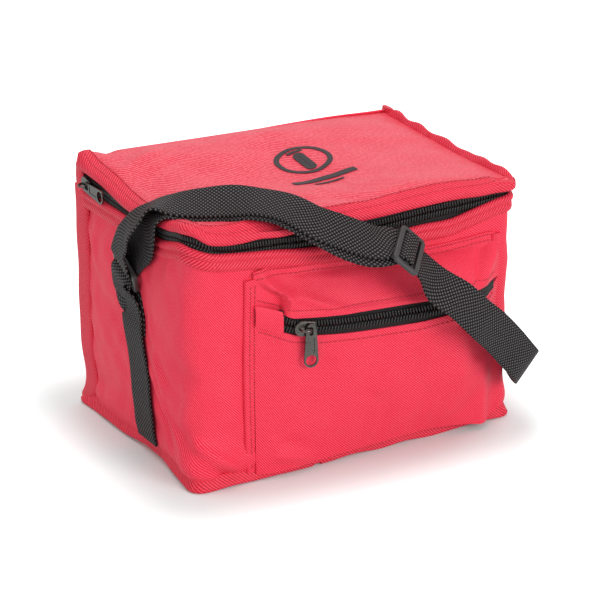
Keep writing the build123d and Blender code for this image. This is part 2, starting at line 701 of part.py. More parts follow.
slot_length = (adjuster_length - 3 * adjuster_bar) / 2
slot_width = adjuster_width - 2 * adjuster_bar
with BuildPart() as strap_adjuster:
    with BuildSketch(adjuster_plane):
        RectangleRounded(adjuster_length, adjuster_width, adjuster_corner)
        with GridLocations(slot_length + adjuster_bar, 0, 2, 1):
            Rectangle(slot_length, slot_width, mode=Mode.SUBTRACT)
    extrude(amount=adjuster_thick / 2, both=True)
    rim_axis = Axis(adjuster_place, adjuster_plane.z_dir)
    fillet(strap_adjuster.faces().sort_by(rim_axis)[-1].outer_wire().edges(), adjuster_thick / 4)
    fillet(strap_adjuster.faces().sort_by(rim_axis)[0].outer_wire().edges(), adjuster_thick / 4)
save(strap_adjuster, "strap_adjuster")

# the webbing that rises through the slots over the centre bar
over_bar = adjuster_thick / 2 + cloth_gap
arch_half = adjuster_bar / 2 + bar_gap
with BuildPart() as adjuster_webbing:
    with BuildSketch(Plane(adjuster_plane.origin, x_dir=adjuster_plane.x_dir,
                           z_dir=-adjuster_plane.y_dir)):
        with BuildLine():
            Polyline(
                (-arch_half - strap_thick, -adjuster_thick / 2), (-arch_half - strap_thick, over_bar),
                (-arch_half, over_bar + strap_thick), (arch_half, over_bar + strap_thick),
                (arch_half + strap_thick, over_bar), (arch_half + strap_thick, -adjuster_thick / 2),
                (arch_half, -adjuster_thick / 2), (arch_half, over_bar),
                (-arch_half, over_bar), (-arch_half, -adjuster_thick / 2), close=True,
            )
        make_face()
    extrude(amount=strap_width / 2, both=True)
save(adjuster_webbing, "adjuster_webbing")
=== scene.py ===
from math import ceil, cos, hypot, pi, radians, sin

import bmesh
import bpy
import numpy as np
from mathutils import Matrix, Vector


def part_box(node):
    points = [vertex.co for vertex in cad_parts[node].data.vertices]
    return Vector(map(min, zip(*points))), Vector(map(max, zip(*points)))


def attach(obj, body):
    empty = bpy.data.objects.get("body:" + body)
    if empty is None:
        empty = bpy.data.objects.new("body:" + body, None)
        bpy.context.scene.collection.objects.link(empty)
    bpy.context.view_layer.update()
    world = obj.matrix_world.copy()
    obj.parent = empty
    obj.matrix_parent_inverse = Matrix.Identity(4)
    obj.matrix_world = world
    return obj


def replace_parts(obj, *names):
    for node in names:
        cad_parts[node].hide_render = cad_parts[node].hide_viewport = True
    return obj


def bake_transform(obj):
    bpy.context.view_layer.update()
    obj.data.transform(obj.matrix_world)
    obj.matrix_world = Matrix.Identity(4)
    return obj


# Soft-sided insulated transport bag: padded walls and lid of red coated twill, bound seams, a
# black coil zip round three sides, a zipped front pocket and a black webbing shoulder strap.
# Lengths are millimetres until a mesh is made. Front faces -Y, the bag stands on Z = 0.

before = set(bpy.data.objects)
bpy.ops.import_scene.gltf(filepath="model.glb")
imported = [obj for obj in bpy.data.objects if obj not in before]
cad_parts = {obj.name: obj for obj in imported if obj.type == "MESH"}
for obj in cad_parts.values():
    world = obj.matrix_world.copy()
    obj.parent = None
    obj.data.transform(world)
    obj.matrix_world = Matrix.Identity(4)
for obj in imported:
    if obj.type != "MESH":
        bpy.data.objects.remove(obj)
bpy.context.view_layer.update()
MM = 0.001


def corners(node):
    """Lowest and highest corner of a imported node, in millimetres."""
    low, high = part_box(node)
    return np.array(low) / MM, np.array(high) / MM


wall_low, wall_high = corners("front_side_panel")
back_high = corners("back_panel")[1]
liner_low, liner_high = corners("inner_liner")
half_width = wall_high[0]
front, rear = wall_low[1], back_high[1]
rim, hinge_low = wall_high[2], back_high[2]
corner_radius = 14.0
strap_width, strap_thick = 25.0, 1.4
upwards = np.array([0.0, 0.0, 1.0])
forwards = np.array([0.0, -1.0, 0.0])

# ------------------------------------------------------------------ shapes from a few numbers


def smooth(knots):
    """Smooth function through (place, value) knots, level outside them."""
    places, values = (np.array(column, float) for column in zip(*knots))
    slopes = np.gradient(values, places)
    slopes[0] = slopes[-1] = 0.0

    def value(at):
        at = np.clip(at, places[0], places[-1])
        index = np.clip(np.searchsorted(places, at) - 1, 0, len(places) - 2)
        span = places[index + 1] - places[index]
        t = (at - places[index]) / span
        return ((2 * t**3 - 3 * t**2 + 1) * values[index]
                + (t**3 - 2 * t**2 + t) * span * slopes[index]
                + (3 * t**2 - 2 * t**3) * values[index + 1]
                + (t**3 - t**2) * span * slopes[index + 1])
    return value


def ease(value, low, high):
    """0 below low, 1 above high, smooth between."""
    t = np.clip((value - low) / (high - low), 0, 1)
    return t * t * (3 - 2 * t)


def crease(across, up, start, end, width, height):
    """Soft ridge (or valley, if height is negative) from start to end in a panel's own plane."""
    run = (end[0] - start[0], end[1] - start[1])
    length = hypot(*run)
    t = ((across - start[0]) * run[0] + (up - start[1]) * run[1]) / length**2
    off = ((across - start[0]) * run[1] - (up - start[1]) * run[0]) / length
    return height * np.exp(-(off / width)**2) * ease(t, -0.15, 0.25) * (1 - ease(t, 0.7, 1.15))


def folded(surface, across, up, folds):
    """The surface with folds added: each has a start, an end, a width and a height."""
    for fold in folds:
        surface = surface + crease(across, up, *fold)
    return surface


def ripples(seed, wavelength, count=9):
    """Small irregular waves of about one wavelength, the same every run."""
    rng = np.random.default_rng(seed)
    angles = rng.uniform(0, 2 * pi, count)
    steps = 2 * pi / (wavelength * rng.uniform(0.7, 1.5, count))
    phases = rng.uniform(0, 2 * pi, count)

    def height(across, up):
        total = 0.0
        for angle, step, phase in zip(angles, steps, phases):
            total = total + np.sin(step * (across * cos(angle) + up * sin(angle)) + phase)
        return total / count**0.5
    return height


def spaced(start, end, step):
    """Even places from start to end, about a step apart."""
    return np.linspace(start, end, max(2, ceil(abs(end - start) / step) + 1))


def lengths(points, axis, loop=False):
    """Running length along the rows or the columns of a grid of points."""
    if loop:
        points = np.concatenate([points, points[:, :1]], 1)
    steps = np.linalg.norm(np.diff(points, axis=axis), axis=2).mean(axis=1 - axis)
    return np.concatenate([[0.0], np.cumsum(steps)])


def grid_normals(points, loop=False):
    """Outward directions of a grid: its columns' direction crossed with its rows'."""
    up = np.gradient(points, axis=0)
    if loop:
        across = np.roll(points, -1, 1) - np.roll(points, 1, 1)
    else:
        across = np.gradient(points, axis=1)
    normal = np.cross(across, up)
    return normal / np.linalg.norm(normal, axis=2, keepdims=True).clip(1e-9)


# ------------------------------------------------------------------ making meshes


def piece_from(name, vertices, faces, spots, material, sharp=50):
    """Object from millimetre vertices, faces and each face corner's place on the flat cloth."""
    mesh = bpy.data.meshes.new(name)
    mesh.from_pydata([tuple(v) for v in np.asarray(vertices) * MM], [], faces)
    layer = mesh.uv_layers.new(name="cloth")
    layer.data.foreach_set("uv", [c for face in spots for spot in face for c in spot])
    shape = bmesh.new()
    shape.from_mesh(mesh)
    if shape.calc_volume(signed=True) < 0:
        bmesh.ops.reverse_faces(shape, faces=shape.faces)
    shape.to_mesh(mesh)
    shape.free()
    mesh.polygons.foreach_set("use_smooth", [True] * len(mesh.polygons))
    mesh.set_sharp_from_angle(angle=radians(sharp))
    mesh.materials.append(material)
    piece = bpy.data.objects.new(name, mesh)
    bpy.context.scene.collection.objects.link(piece)
    return piece


def skin(name, points, material, loop=False, thick=0.0, sharp=50):
    """Closed piece over a grid of points: thick cloth, or a tube whose rows are loops."""
    points = np.asarray(points, float)
    rows, cols = points.shape[:2]
    across, up = lengths(points, 1, loop), lengths(points, 0)
    last = cols if loop else cols - 1
    vertices = points.reshape(-1, 3)
    inner = rows * cols
    if thick:
        inside = points - grid_normals(points, loop) * thick
        vertices = np.concatenate([vertices, inside.reshape(-1, 3)])
    faces, spots = [], []

    def add_face(face, spot):
        faces.append(face)
        spots.append(spot)

    for i in range(rows - 1):
        for j in range(last):
            k = (j + 1) % cols
            face = [i * cols + j, i * cols + k, (i + 1) * cols + k, (i + 1) * cols + j]
            spot = [(across[j], up[i]), (across[j + 1], up[i]),
                    (across[j + 1], up[i + 1]), (across[j], up[i + 1])]
            add_face(face, spot)
            if thick:
                add_face([inner + v for v in reversed(face)], spot[::-1])
    if not thick:
        ring = list(range(cols))
        add_face(ring[::-1], [(across[j], -1.0) for j in ring[::-1]])
        add_face([inner - cols + j for j in ring], [(across[j], up[-1]) for j in ring])
        return piece_from(name, vertices, faces, spots, material, sharp)
    for j in range(last):
        k = (j + 1) % cols
        top = (rows - 1) * cols
        low_spot = [(across[j + 1], up[0]), (across[j], up[0]), (across[j], -1.0),
                    (across[j + 1], -1.0)]
        add_face([k, j, inner + j, inner + k], low_spot)
        add_face([top + j, top + k, inner + top + k, inner + top + j], low_spot)
    if not loop:
        for i in range(rows - 1):
            a, b = i * cols, (i + 1) * cols
            side_spot = [(0.0, up[i]), (0.0, up[i + 1]), (-1.0, up[i + 1]), (-1.0, up[i])]
            add_face([a, b, inner + b, inner + a], side_spot)
            a, b = a + cols - 1, b + cols - 1
            add_face([b, a, inner + a, inner + b], side_spot)
    return piece_from(name, vertices, faces, spots, material, sharp)


def tape(name, places, profile, material, sharp=50):
    """Tape or moulding along places (origin, out, up); profile gives (out, up) offsets."""
    rows = []
    for index, (origin, out, up) in enumerate(places):
        section = profile(index) if callable(profile) else profile
        rows.append([origin + out * a + up * b for a, b in section])
    return skin(name, rows, material, loop=True, sharp=sharp)


def joined(name, pieces):
    """One piece from several of the same material."""
    bpy.ops.object.select_all(action="DESELECT")
    for piece in pieces:
        piece.select_set(True)
    bpy.context.view_layer.objects.active = pieces[0]
    bpy.ops.object.join()
    pieces[0].name = pieces[0].data.name = name
    return pieces[0]


def baked(piece):
    """The piece with its modifiers made part of a plain mesh."""
    graph = bpy.context.evaluated_depsgraph_get()
    mesh = bpy.data.meshes.new_from_object(piece.evaluated_get(graph), depsgraph=graph)
    piece.modifiers.clear()
    piece.data = mesh
    return piece


# frames that a short cloth simulation runs for
last_cloth_frame = 18


def puckers(points, towards, held, slack, push, low, high):
    """How far cloth stands out after a short simulation, over its grid of points.

    The cloth is cut a little too large (slack) and filled from behind (push), so it puckers
    between its seams; held is 1 where it is sewn down. The movement is capped softly at low
    and high.
    """
    rows, cols = points.shape[:2]
    normal = grid_normals(points)
    if (normal * towards).sum() < 0:
        return puckers(points[:, ::-1], towards, held[:, ::-1], slack, push, low, high)[:, ::-1]
    faces = [(i * cols + j, i * cols + j + 1, (i + 1) * cols + j + 1, (i + 1) * cols + j)
             for i in range(rows - 1) for j in range(cols - 1)]
    mesh = bpy.data.meshes.new("cloth being settled")
    mesh.from_pydata([tuple(p) for p in points.reshape(-1, 3) * MM], [], faces)
    mesh.update()
    centre = mesh.polygons[len(faces) // 2]
    if centre.normal.dot(Vector(normal[rows // 2, cols // 2])) < 0:
        mesh.flip_normals()
    sheet = bpy.data.objects.new("cloth being settled", mesh)
    bpy.context.scene.collection.objects.link(sheet)
    group = sheet.vertex_groups.new(name="sewn")
    for index, weight in enumerate(held.ravel()):
        group.add([index], float(weight), "REPLACE")
    cloth = sheet.modifiers.new("cloth", "CLOTH")
    settings = cloth.settings
    settings.quality = 6
    settings.mass = 0.12
    settings.tension_stiffness = settings.compression_stiffness = 12
    settings.shear_stiffness = 6
    settings.bending_stiffness = 0.12
    settings.shrink_min = -slack
    settings.vertex_group_mass = "sewn"
    settings.use_pressure = True
    settings.uniform_pressure_force = push
    settings.effector_weights.gravity = 0
    cloth.point_cache.frame_start, cloth.point_cache.frame_end = 1, last_cloth_frame
    scene = bpy.context.scene
    for frame_number in range(1, last_cloth_frame + 1):
        scene.frame_set(frame_number)
    evaluated = sheet.evaluated_get(bpy.context.evaluated_depsgraph_get())
    moved = np.empty(rows * cols * 3)
    evaluated.data.vertices.foreach_get("co", moved)
    bpy.data.objects.remove(sheet)
    scene.frame_set(1)
    out = ((moved.reshape(rows, cols, 3) / MM - points) * normal).sum(2)
    print("cloth settled:", rows * cols, "points,", round(float(out.min()), 2), "to",
          round(float(out.max()), 2), "mm")
    out = np.where(out > 0, high * np.tanh(out / high), low * np.tanh(out / low))
    for _ in range(2):
        out[1:-1] = (out[:-2] + 2 * out[1:-1] + out[2:]) / 4
        out[:, 1:-1] = (out[:, :-2] + 2 * out[:, 1:-1] + out[:, 2:]) / 4
    return out


def over_grid(values, down, across):
    """Function that reads evenly spaced values anywhere between the grid's places."""
    rows, cols = values.shape

    def read(a, b):
        a, b = np.broadcast_arrays(np.asarray(a, float), np.asarray(b, float))
        i = np.clip((a - down[0]) / (down[-1] - down[0]) * (rows - 1), 0, rows - 1.001)
        j = np.clip((b - across[0]) / (across[-1] - across[0]) * (cols - 1), 0, cols - 1.001)
        i0, j0 = i.astype(int), j.astype(int)
        u, v = i - i0, j - j0
        return ((values[i0, j0] * (1 - v) + values[i0, j0 + 1] * v) * (1 - u)
                + (values[i0 + 1, j0] * (1 - v) + values[i0 + 1, j0 + 1] * v) * u)
    return read


def sewn_edges(shape, margin):
    """Weights that hold a grid of cloth along its four edges."""
    rows, cols = shape
    i, j = np.meshgrid(np.arange(rows), np.arange(cols), indexing="ij")
    inside = np.minimum(np.minimum(i, rows - 1 - i), np.minimum(j, cols - 1 - j))
    return np.where(inside < margin, 1.0, 0.02)


# ------------------------------------------------------------------ materials


def linear(hex_colour):
    """sRGB hex colour as the linear colour that shaders take."""
    channels = [int(hex_colour[i:i + 2], 16) / 255 for i in (1, 3, 5)]
    return [c / 12.92 if c <= 0.04045 else ((c + 0.055) / 1.055)**2.4 for c in channels] + [1.0]


def node(tree, kind, inputs=None, **settings):
    """Add one node; inputs are values or other nodes' outputs."""
    made = tree.nodes.new(kind)
    for name, value in settings.items():
        setattr(made, name, value)
    for name, value in (inputs or {}).items():
        if isinstance(value, bpy.types.NodeSocket):
            tree.links.new(value, made.inputs[name])
        else:
            made.inputs[name].default_value = value
    return made


def finish(name, **sockets):
    """New material and its Principled shader, with constants on the shader's own sockets."""
    material = bpy.data.materials.new(name)
    material.use_nodes = True
    shader = material.node_tree.nodes["Principled BSDF"]
    for socket, value in sockets.items():
        shader.inputs[socket.replace("_", " ")].default_value = value
    return material, material.node_tree, shader


def diagonal_scale(pitch):
    """Wave texture scale for diagonal bands a pitch apart, measured square to the bands."""
    return 2 * pi / (10 * pitch * 2**0.5)


def bands(tree, vector, pitch):
    """Diagonal bands a pitch apart."""
    return node(tree, "ShaderNodeTexWave", {"Vector": vector, "Scale": diagonal_scale(pitch)},
                wave_type="BANDS", bands_direction="DIAGONAL").outputs["Fac"]


def grain(tree, vector, scale, detail, **inputs):
    """Noise texture: scale in cells per unit of the vector."""
    return node(tree, "ShaderNodeTexNoise", {"Vector": vector, "Scale": scale, "Detail": detail,
                                             **inputs})


def mixed(tree, share, first, second):
    """Two values mixed, by the second's share."""
    return node(tree, "ShaderNodeMix", {"Factor": share, 2: first, 3: second},
                data_type="FLOAT").outputs["Result"]


def vector_step(tree, operation, first, second=None):
    """Vector Math node."""
    inputs = {0: first} if second is None else {0: first, 1: second}
    return node(tree, "ShaderNodeVectorMath", inputs, operation=operation)


def shade(tree, shader, tone, stops, height, strength, depth):
    """Base colour from a tone between 0 and 1, and relief from a height, depth in millimetres."""
    ramp = node(tree, "ShaderNodeValToRGB", {"Fac": tone})
    elements = ramp.color_ramp.elements
    for element, (position, colour) in zip(elements, (stops[0], stops[-1])):
        element.position = position
        element.color = linear(colour)
    for position, colour in stops[1:-1]:
        elements.new(position).color = linear(colour)
    tree.links.new(ramp.outputs["Color"], shader.inputs["Base Color"])
    bump = node(tree, "ShaderNodeBump", {"Height": height, "Strength": strength,
                                         "Distance": depth * MM})
    tree.links.new(bump.outputs["Normal"], shader.inputs["Normal"])


def twill(name, dark, mid, light, pitch, depth, yarn_share=0.45, gloss=0.22):
    """Coated polyester twill: fine diagonal ribs broken up by the yarn's own grain."""
    material, tree, shader = finish(name, Roughness=0.5, Sheen_Weight=0.02)
    shader.inputs["Specular IOR Level"].default_value = gloss
    cloth = node(tree, "ShaderNodeTexCoord").outputs["UV"]
    slub = grain(tree, cloth, 0.7, 2.0).outputs["Color"]
    wobble = vector_step(tree, "MULTIPLY", slub, (0.35, 0.35, 0.0)).outputs["Vector"]
    warped = vector_step(tree, "ADD", cloth, wobble).outputs["Vector"]
    yarn = grain(tree, cloth, 1.1 / pitch, 2.0, Roughness=0.7).outputs["Fac"]
    weave = mixed(tree, yarn_share, bands(tree, warped, pitch), yarn)
    patches = grain(tree, cloth, 0.05, 3.0).outputs["Fac"]
    tone = mixed(tree, 0.12, weave, patches)
    shade(tree, shader, tone, [(0.22, dark), (0.5, mid), (0.78, light)], weave, 0.7, depth)
    return material


def webbing(name, dark, light, pitch, depth):
    """Polypropylene webbing, matt: a basket of fat ribs. The ribs' grey is a painted highlight and
    sheen, and the near-black between them is the yarn's black with painted shade.
    """
    material, tree, shader = finish(name, Roughness=0.55)
    shader.inputs["Specular IOR Level"].default_value = 0.15
    cloth = node(tree, "ShaderNodeTexCoord").outputs["UV"]
    across = vector_step(tree, "MULTIPLY", cloth, (-1.0, 1.0, 1.0)).outputs["Vector"]
    basket = node(tree, "ShaderNodeMath", {0: bands(tree, cloth, pitch),
                                           1: bands(tree, across, pitch)}, operation="MULTIPLY")
    fuzz = grain(tree, cloth, 1.4, 3.0).outputs["Fac"]
    ribs = mixed(tree, 0.25, basket.outputs["Value"], fuzz)
    # dark: the yarn's black, with painted shade between the ribs; light: painted highlight and
    # sheen on the ribs
    shade(tree, shader, ribs, [(0.2, dark), (0.85, light)], ribs, 0.9, depth)
    return material


def speckled(name, dark, light, size, depth, **sockets):
    """Plain finish with fine grain: its size and depth in millimetres."""
    material, tree, shader = finish(name, **sockets)
    place = node(tree, "ShaderNodeTexCoord").outputs["Object"]
    speck = grain(tree, place, 1 / (size * MM), 4.0).outputs["Fac"]
    shade(tree, shader, speck, [(0.3, dark), (0.7, light)], speck, 0.5, depth)
    return material


# the real twill has ribs 0.5 mm apart; they are drawn at 1.2 mm so that they show in the render
red_twill = twill("coated polyester twill, red", "#dc1d38", "#e92e47", "#f85b71", 1.2, 0.11,
                  gloss=0.13)
# the lid is seen at a shallow angle, so its ribs are drawn at 2.2 mm and stronger
lid_twill = twill("coated polyester twill, red, lid", "#c90c26", "#e12b44", "#f98090", 2.2, 0.45,
                  yarn_share=0.65, gloss=0.3)
# folded tape is a coarser twill, drawn at 1.6 mm; it is darker than the cloth as painted shade, for
# the shadow that the base seam's tape lies in
red_tape_with_painted_shade = twill("bias binding tape, red twill", "#b8102a", "#dc243e", "#fb5166", 1.6, 0.4)
# spun thread, darker than the cloth: painted shade, for the shadow in the stitch holes
red_thread_with_painted_shade = speckled("spun polyester thread, red", "#a8142a", "#d2344a", 0.4, 0.1, Roughness=0.6)
# laminated film with a faint crinkle
white_film = speckled("laminated lining film, pearl grey", "#c9cbcd", "#dcdee0", 5.0, 0.5,
                      Roughness=0.32)
# the tape's weave is too fine to show, so it is a close dark grain
black_tape = speckled("woven zip tape, black", "#0d0b0c", "#1a1517", 0.35, 0.12, Roughness=0.8)
# extruded nylon, satin
black_coil = speckled("nylon coil, black", "#211d1e", "#332d2e", 0.9, 0.02, Roughness=0.24)
# plated zinc, darkened
dark_nickel = speckled("nickel-plated zinc, dark", "#4d4947", "#77716d", 0.8, 0.015,
                       Metallic=1.0, Roughness=0.26)
# ribs of the real webbing are 1 mm apart; drawn at 1.9 mm so that they show
# its grey on the ribs is a painted highlight and sheen
black_webbing_with_painted_highlights = webbing("polypropylene webbing, black", "#080606", "#766e70", 1.9, 0.8)
# acetal, moulded with a fine spark texture
grey_plastic = speckled("moulded acetal, charcoal", "#343132", "#454142", 0.6, 0.03, Roughness=0.38)
# screen ink, so thin that the cloth's ribs show through
black_ink = speckled("screen-print ink, black", "#241c1f", "#3a3134", 0.9, 0.08, Roughness=0.7)


# ------------------------------------------------------------------ repeats along a seam


def bead(name, long, wide, high, along_seam=True):
    """Low rounded bar, its length along the seam or up it."""
    mesh = bpy.data.meshes.new(name)
    shape = bmesh.new()
    bmesh.ops.create_uvsphere(shape, u_segments=6, v_segments=5, radius=0.5)
    for v in shape.verts:
        v.co.z = max(-0.5, min(0.5, v.co.z * 1.25))
        x, y, z = v.co.z * long, v.co.x * wide, v.co.y * high
        v.co = Vector((x, y, z) if along_seam else (y, x, z)) * MM
    bmesh.ops.recalc_face_normals(shape, faces=shape.faces)
    shape.to_mesh(mesh)
    shape.free()
    mesh.polygons.foreach_set("use_smooth", [True] * len(mesh.polygons))
    return bpy.data.objects.new(name, mesh)


def repeat_tree():
    """Geometry Nodes: one shape set out evenly along paths, facing each path's outward side."""
    tree = bpy.data.node_groups.new("shapes along a seam", "GeometryNodeTree")
    sockets = {}
    for name, kind, side in (
        ("Path", "NodeSocketGeometry", "INPUT"), ("Shape", "NodeSocketObject", "INPUT"),
        ("Spacing", "NodeSocketFloat", "INPUT"), ("Slant", "NodeSocketFloat", "INPUT"),
        ("Unevenness", "NodeSocketFloat", "INPUT"), ("Material", "NodeSocketMaterial", "INPUT"),
        ("Shapes", "NodeSocketGeometry", "OUTPUT"),
    ):
        sockets[name] = tree.interface.new_socket(name=name, in_out=side, socket_type=kind)
    given = node(tree, "NodeGroupInput").outputs
    curve = node(tree, "GeometryNodeMeshToCurve", {"Mesh": given["Path"]})
    evenly = node(tree, "GeometryNodeResampleCurve", {"Curve": curve.outputs["Curve"],
                                                      "Length": given["Spacing"]}, mode="LENGTH")
    shape = node(tree, "GeometryNodeObjectInfo", {"Object": given["Shape"]})
    tangent = node(tree, "GeometryNodeInputTangent")
    outward = node(tree, "GeometryNodeInputNamedAttribute", {"Name": "out"},
                   data_type="FLOAT_VECTOR")
    along = node(tree, "FunctionNodeAlignRotationToVector", {"Vector": tangent.outputs[0]},
                 axis="X")
    facing = node(tree, "FunctionNodeAlignRotationToVector",
                  {"Rotation": along.outputs[0], "Vector": outward.outputs["Attribute"]},
                  axis="Z", pivot_axis="X")
    spread = node(tree, "FunctionNodeRandomValue", {"Seed": 7}, data_type="FLOAT")
    # Random Value has sockets of the same name for every type: the float ones are picked
    floats = [s for s in spread.inputs if s.type == "VALUE"]
    floats[0].default_value, floats[1].default_value = -1.0, 1.0
    random_out = [s for s in spread.outputs if s.type == "VALUE"][0]
    uneven = node(tree, "ShaderNodeMath", {0: random_out, 1: given["Unevenness"]},
                  operation="MULTIPLY")
    angle = node(tree, "ShaderNodeMath", {0: uneven.outputs[0], 1: given["Slant"]})
    turn = node(tree, "ShaderNodeCombineXYZ", {"Z": angle.outputs[0]})
    turned = node(tree, "FunctionNodeEulerToRotation", {"Euler": turn.outputs[0]})
    local = node(tree, "FunctionNodeRotateRotation",
                 {"Rotation": facing.outputs[0], "Rotate By": turned.outputs[0]},
                 rotation_space="LOCAL")
    placed = node(tree, "GeometryNodeInstanceOnPoints",
                  {"Points": evenly.outputs["Curve"], "Instance": shape.outputs["Geometry"],
                   "Rotation": local.outputs[0]})
    real = node(tree, "GeometryNodeRealizeInstances", {"Geometry": placed.outputs["Instances"]})
    coloured = node(tree, "GeometryNodeSetMaterial", {"Geometry": real.outputs["Geometry"],
                                                      "Material": given["Material"]})
    node(tree, "NodeGroupOutput", {"Shapes": coloured.outputs["Geometry"]})
    return tree, sockets


seam_tree, seam_sockets = repeat_tree()


def along_seams(name, seams, shape, spacing, material, slant=0.0, unevenness=0.05):
    """Piece of one repeated shape along seams, each a row of (point, outward direction)."""
    vertices, edges, outward = [], [], []
    for points, outs in seams:
        start = len(vertices)
        vertices += [tuple(p) for p in np.asarray(points) * MM]
        outward += [c for out in np.broadcast_to(outs, np.shape(points)) for c in out]
        edges += [(start + i, start + i + 1) for i in range(len(points) - 1)]
    mesh = bpy.data.meshes.new(name)
    mesh.from_pydata(vertices, edges, [])
    mesh.attributes.new("out", "FLOAT_VECTOR", "POINT").data.foreach_set("vector", outward)
    piece = bpy.data.objects.new(name, mesh)
    bpy.context.scene.collection.objects.link(piece)
    modifier = piece.modifiers.new("repeat", "NODES")
    modifier.node_group = seam_tree
    for socket, value in (("Shape", shape), ("Spacing", spacing * MM), ("Slant", slant),
                          ("Unevenness", unevenness), ("Material", material)):
        modifier[seam_sockets[socket].identifier] = value
    return baked(piece)


# a lockstitch shows 2.3 mm of thread every 3 mm; a number 5 coil has a turn every 1.5 mm or so,
# drawn at 1.9 mm so that the turns show
stitch = bead("stitch shape", 2.3, 0.7, 0.55)
tooth = bead("coil turn shape", 4.3, 1.25, 1.7, along_seam=False)
stitch_pitch, tooth_pitch = 3.0, 1.9
# half the distance between a zip's two rows of coil, and the lean of their turns in radians
row_half, turn_slant = 2.15, 0.2

# ------------------------------------------------------------------ the wall's outline
side_length = rear - front - corner_radius
corner_length = pi / 2 * corner_radius
front_length = 2 * (half_width - corner_radius)
wall_length = 2 * (side_length + corner_length) + front_length
left_corner = side_length + corner_length / 2


def at_left(y):
    """Place along the wall, from the left rear corner, of a point on the left side."""
    return rear - y


def at_front(x):
    """The same for a point on the front."""
    return side_length + corner_length + x + half_width - corner_radius


def at_right(y):
    """The same for a point on the right side."""
    return wall_length - (rear - y)


# the right front corner is squarer than the left, by so many millimetres at its middle
wall_square, lid_square = 3.0, 5.2


def outline(s, inset=0.0, square=wall_square):
    """Point and outward direction at s along the wall, seen from above."""
    s = np.asarray(s, float)
    radius = corner_radius - inset
    centre_x, centre_y = half_width - corner_radius, front + corner_radius
    first = side_length
    second = first + corner_length
    third = second + front_length
    fourth = third + corner_length
    turn = np.where(s < (second + third) / 2, np.clip((s - first) / corner_length, 0, 1) * pi / 2,
                    pi / 2 + np.clip((s - third) / corner_length, 0, 1) * pi / 2)
    out = np.stack([-np.cos(turn), -np.sin(turn), np.zeros_like(turn)], -1)
    x = np.where(s < second, -centre_x, np.where(s < third, s - second - centre_x, centre_x))
    y = np.where(s < first, rear - s, np.where(s > fourth, centre_y + s - fourth, centre_y))
    right_turn = np.sin(pi * np.clip((s - third) / corner_length, 0, 1))**2
    reach = radius + square * right_turn
    return np.stack([x, y, np.zeros_like(x)], -1) + out * reach[..., None], out


# heights along the wall of the rim, the lid's lower edge and the zip between them: the soft
# front sags under the lid, most of all right of the middle
rim_top = smooth([
    (at_left(76), 145.6), (at_left(40), 147), (at_left(-8), 148.8), (at_left(-42), 149.6),
    (at_left(-54), 152.8), (at_left(-64), 155.2), (left_corner, 153.3),
    (at_front(-97), 150), (at_front(-84), 148), (at_front(-58), 144.8), (at_front(-38), 142),
    (at_front(-18), 140.5), (at_front(15), 139.5), (at_front(45), 141), (at_front(67), 141),
    (at_front(79), 143.5), (at_front(89), 145.6), (at_front(104), 148.5), (at_right(-62), 149.5),
    (at_right(0), 148), (at_right(76), 146),
])
lid_edge = smooth([
    (at_left(76), 160), (at_left(40), 159), (at_left(5), 155), (at_left(-35), 158.5),
    (at_left(-52), 161), (at_left(-64), 163.8), (left_corner, 163.5),
    (at_front(-100), 158.5), (at_front(-92), 156.5), (at_front(-80), 155.5), (at_front(-67), 156),
    (at_front(-54), 154.6), (at_front(-38), 155), (at_front(-7), 154), (at_front(15), 154),
    (at_front(45), 155), (at_front(71), 155), (at_front(86), 154), (at_front(100), 154),
    (at_right(-62), 153.5), (at_right(-20), 152.5), (at_right(40), 153.5), (at_right(76), 154.5),
])
zip_line = smooth([
    (at_left(76), 153), (at_left(0), 152.8), (at_left(-40), 154), (at_left(-62), 158.4),
    (left_corner, 158), (at_front(-100), 154.5), (at_front(-90), 151.8),
    (at_front(-58), 149.2), (at_front(-38), 148), (at_front(-18), 147), (at_front(15), 147.3),
    (at_front(45), 149), (at_front(81), 150), (at_front(104), 151), (at_right(-60), 151),
    (at_right(-20), 150), (at_right(76), 149.5),
])
side_ripple, fine_ripple = ripples(3, 46), ripples(11, 17)

# folds in the walls: start and end (place across, height), width, height. Those of the left side,
# mostly pulls from the webbing's foot to the front corner, end so far beyond the side's own length
side_folds = [
    ((-22, 62), (-66, 20), 3.0, 2.6, 30), ((-24, 50), (-56, 12), 3.0, -2.0, 30),
    ((-22, 104), (-44, 44), 4.0, 1.8, 10), ((-25, 84), (-52, 58), 3.5, -1.4, 10),
    ((-30, 40), (-74, 30), 5.0, -1.4, 10), ((66, 130), (40, 90), 6.0, 1.0, 0),
    ((60, 20), (20, 34), 5.0, -1.1, 0),
]
# a soft column beside the pocket and a drooping fold at the corner, which begin beyond it
front_folds = [
    ((-88, 128), (-92, 30), 6.5, 1.3, 0), ((-104, 120), (-98, 44), 5.0, -1.2, -8),
    ((-112, 34), (-84, 11), 3.2, 4.6, 4), ((-106, 17), (-84, 4), 3.0, -3.4, 4),
    ((-96, 42), (-76, 20), 4.5, -1.2, 10),
]
right_folds = [((at_right(-50), 30), (at_right(10), 60), 7.0, 1.6),
               ((at_right(30), 100), (at_right(60), 60), 8.0, -1.2)]
# the walls' cloth starts above the base seam and ends below the rim
wall_foot, wall_trim = 1.2, 1.6


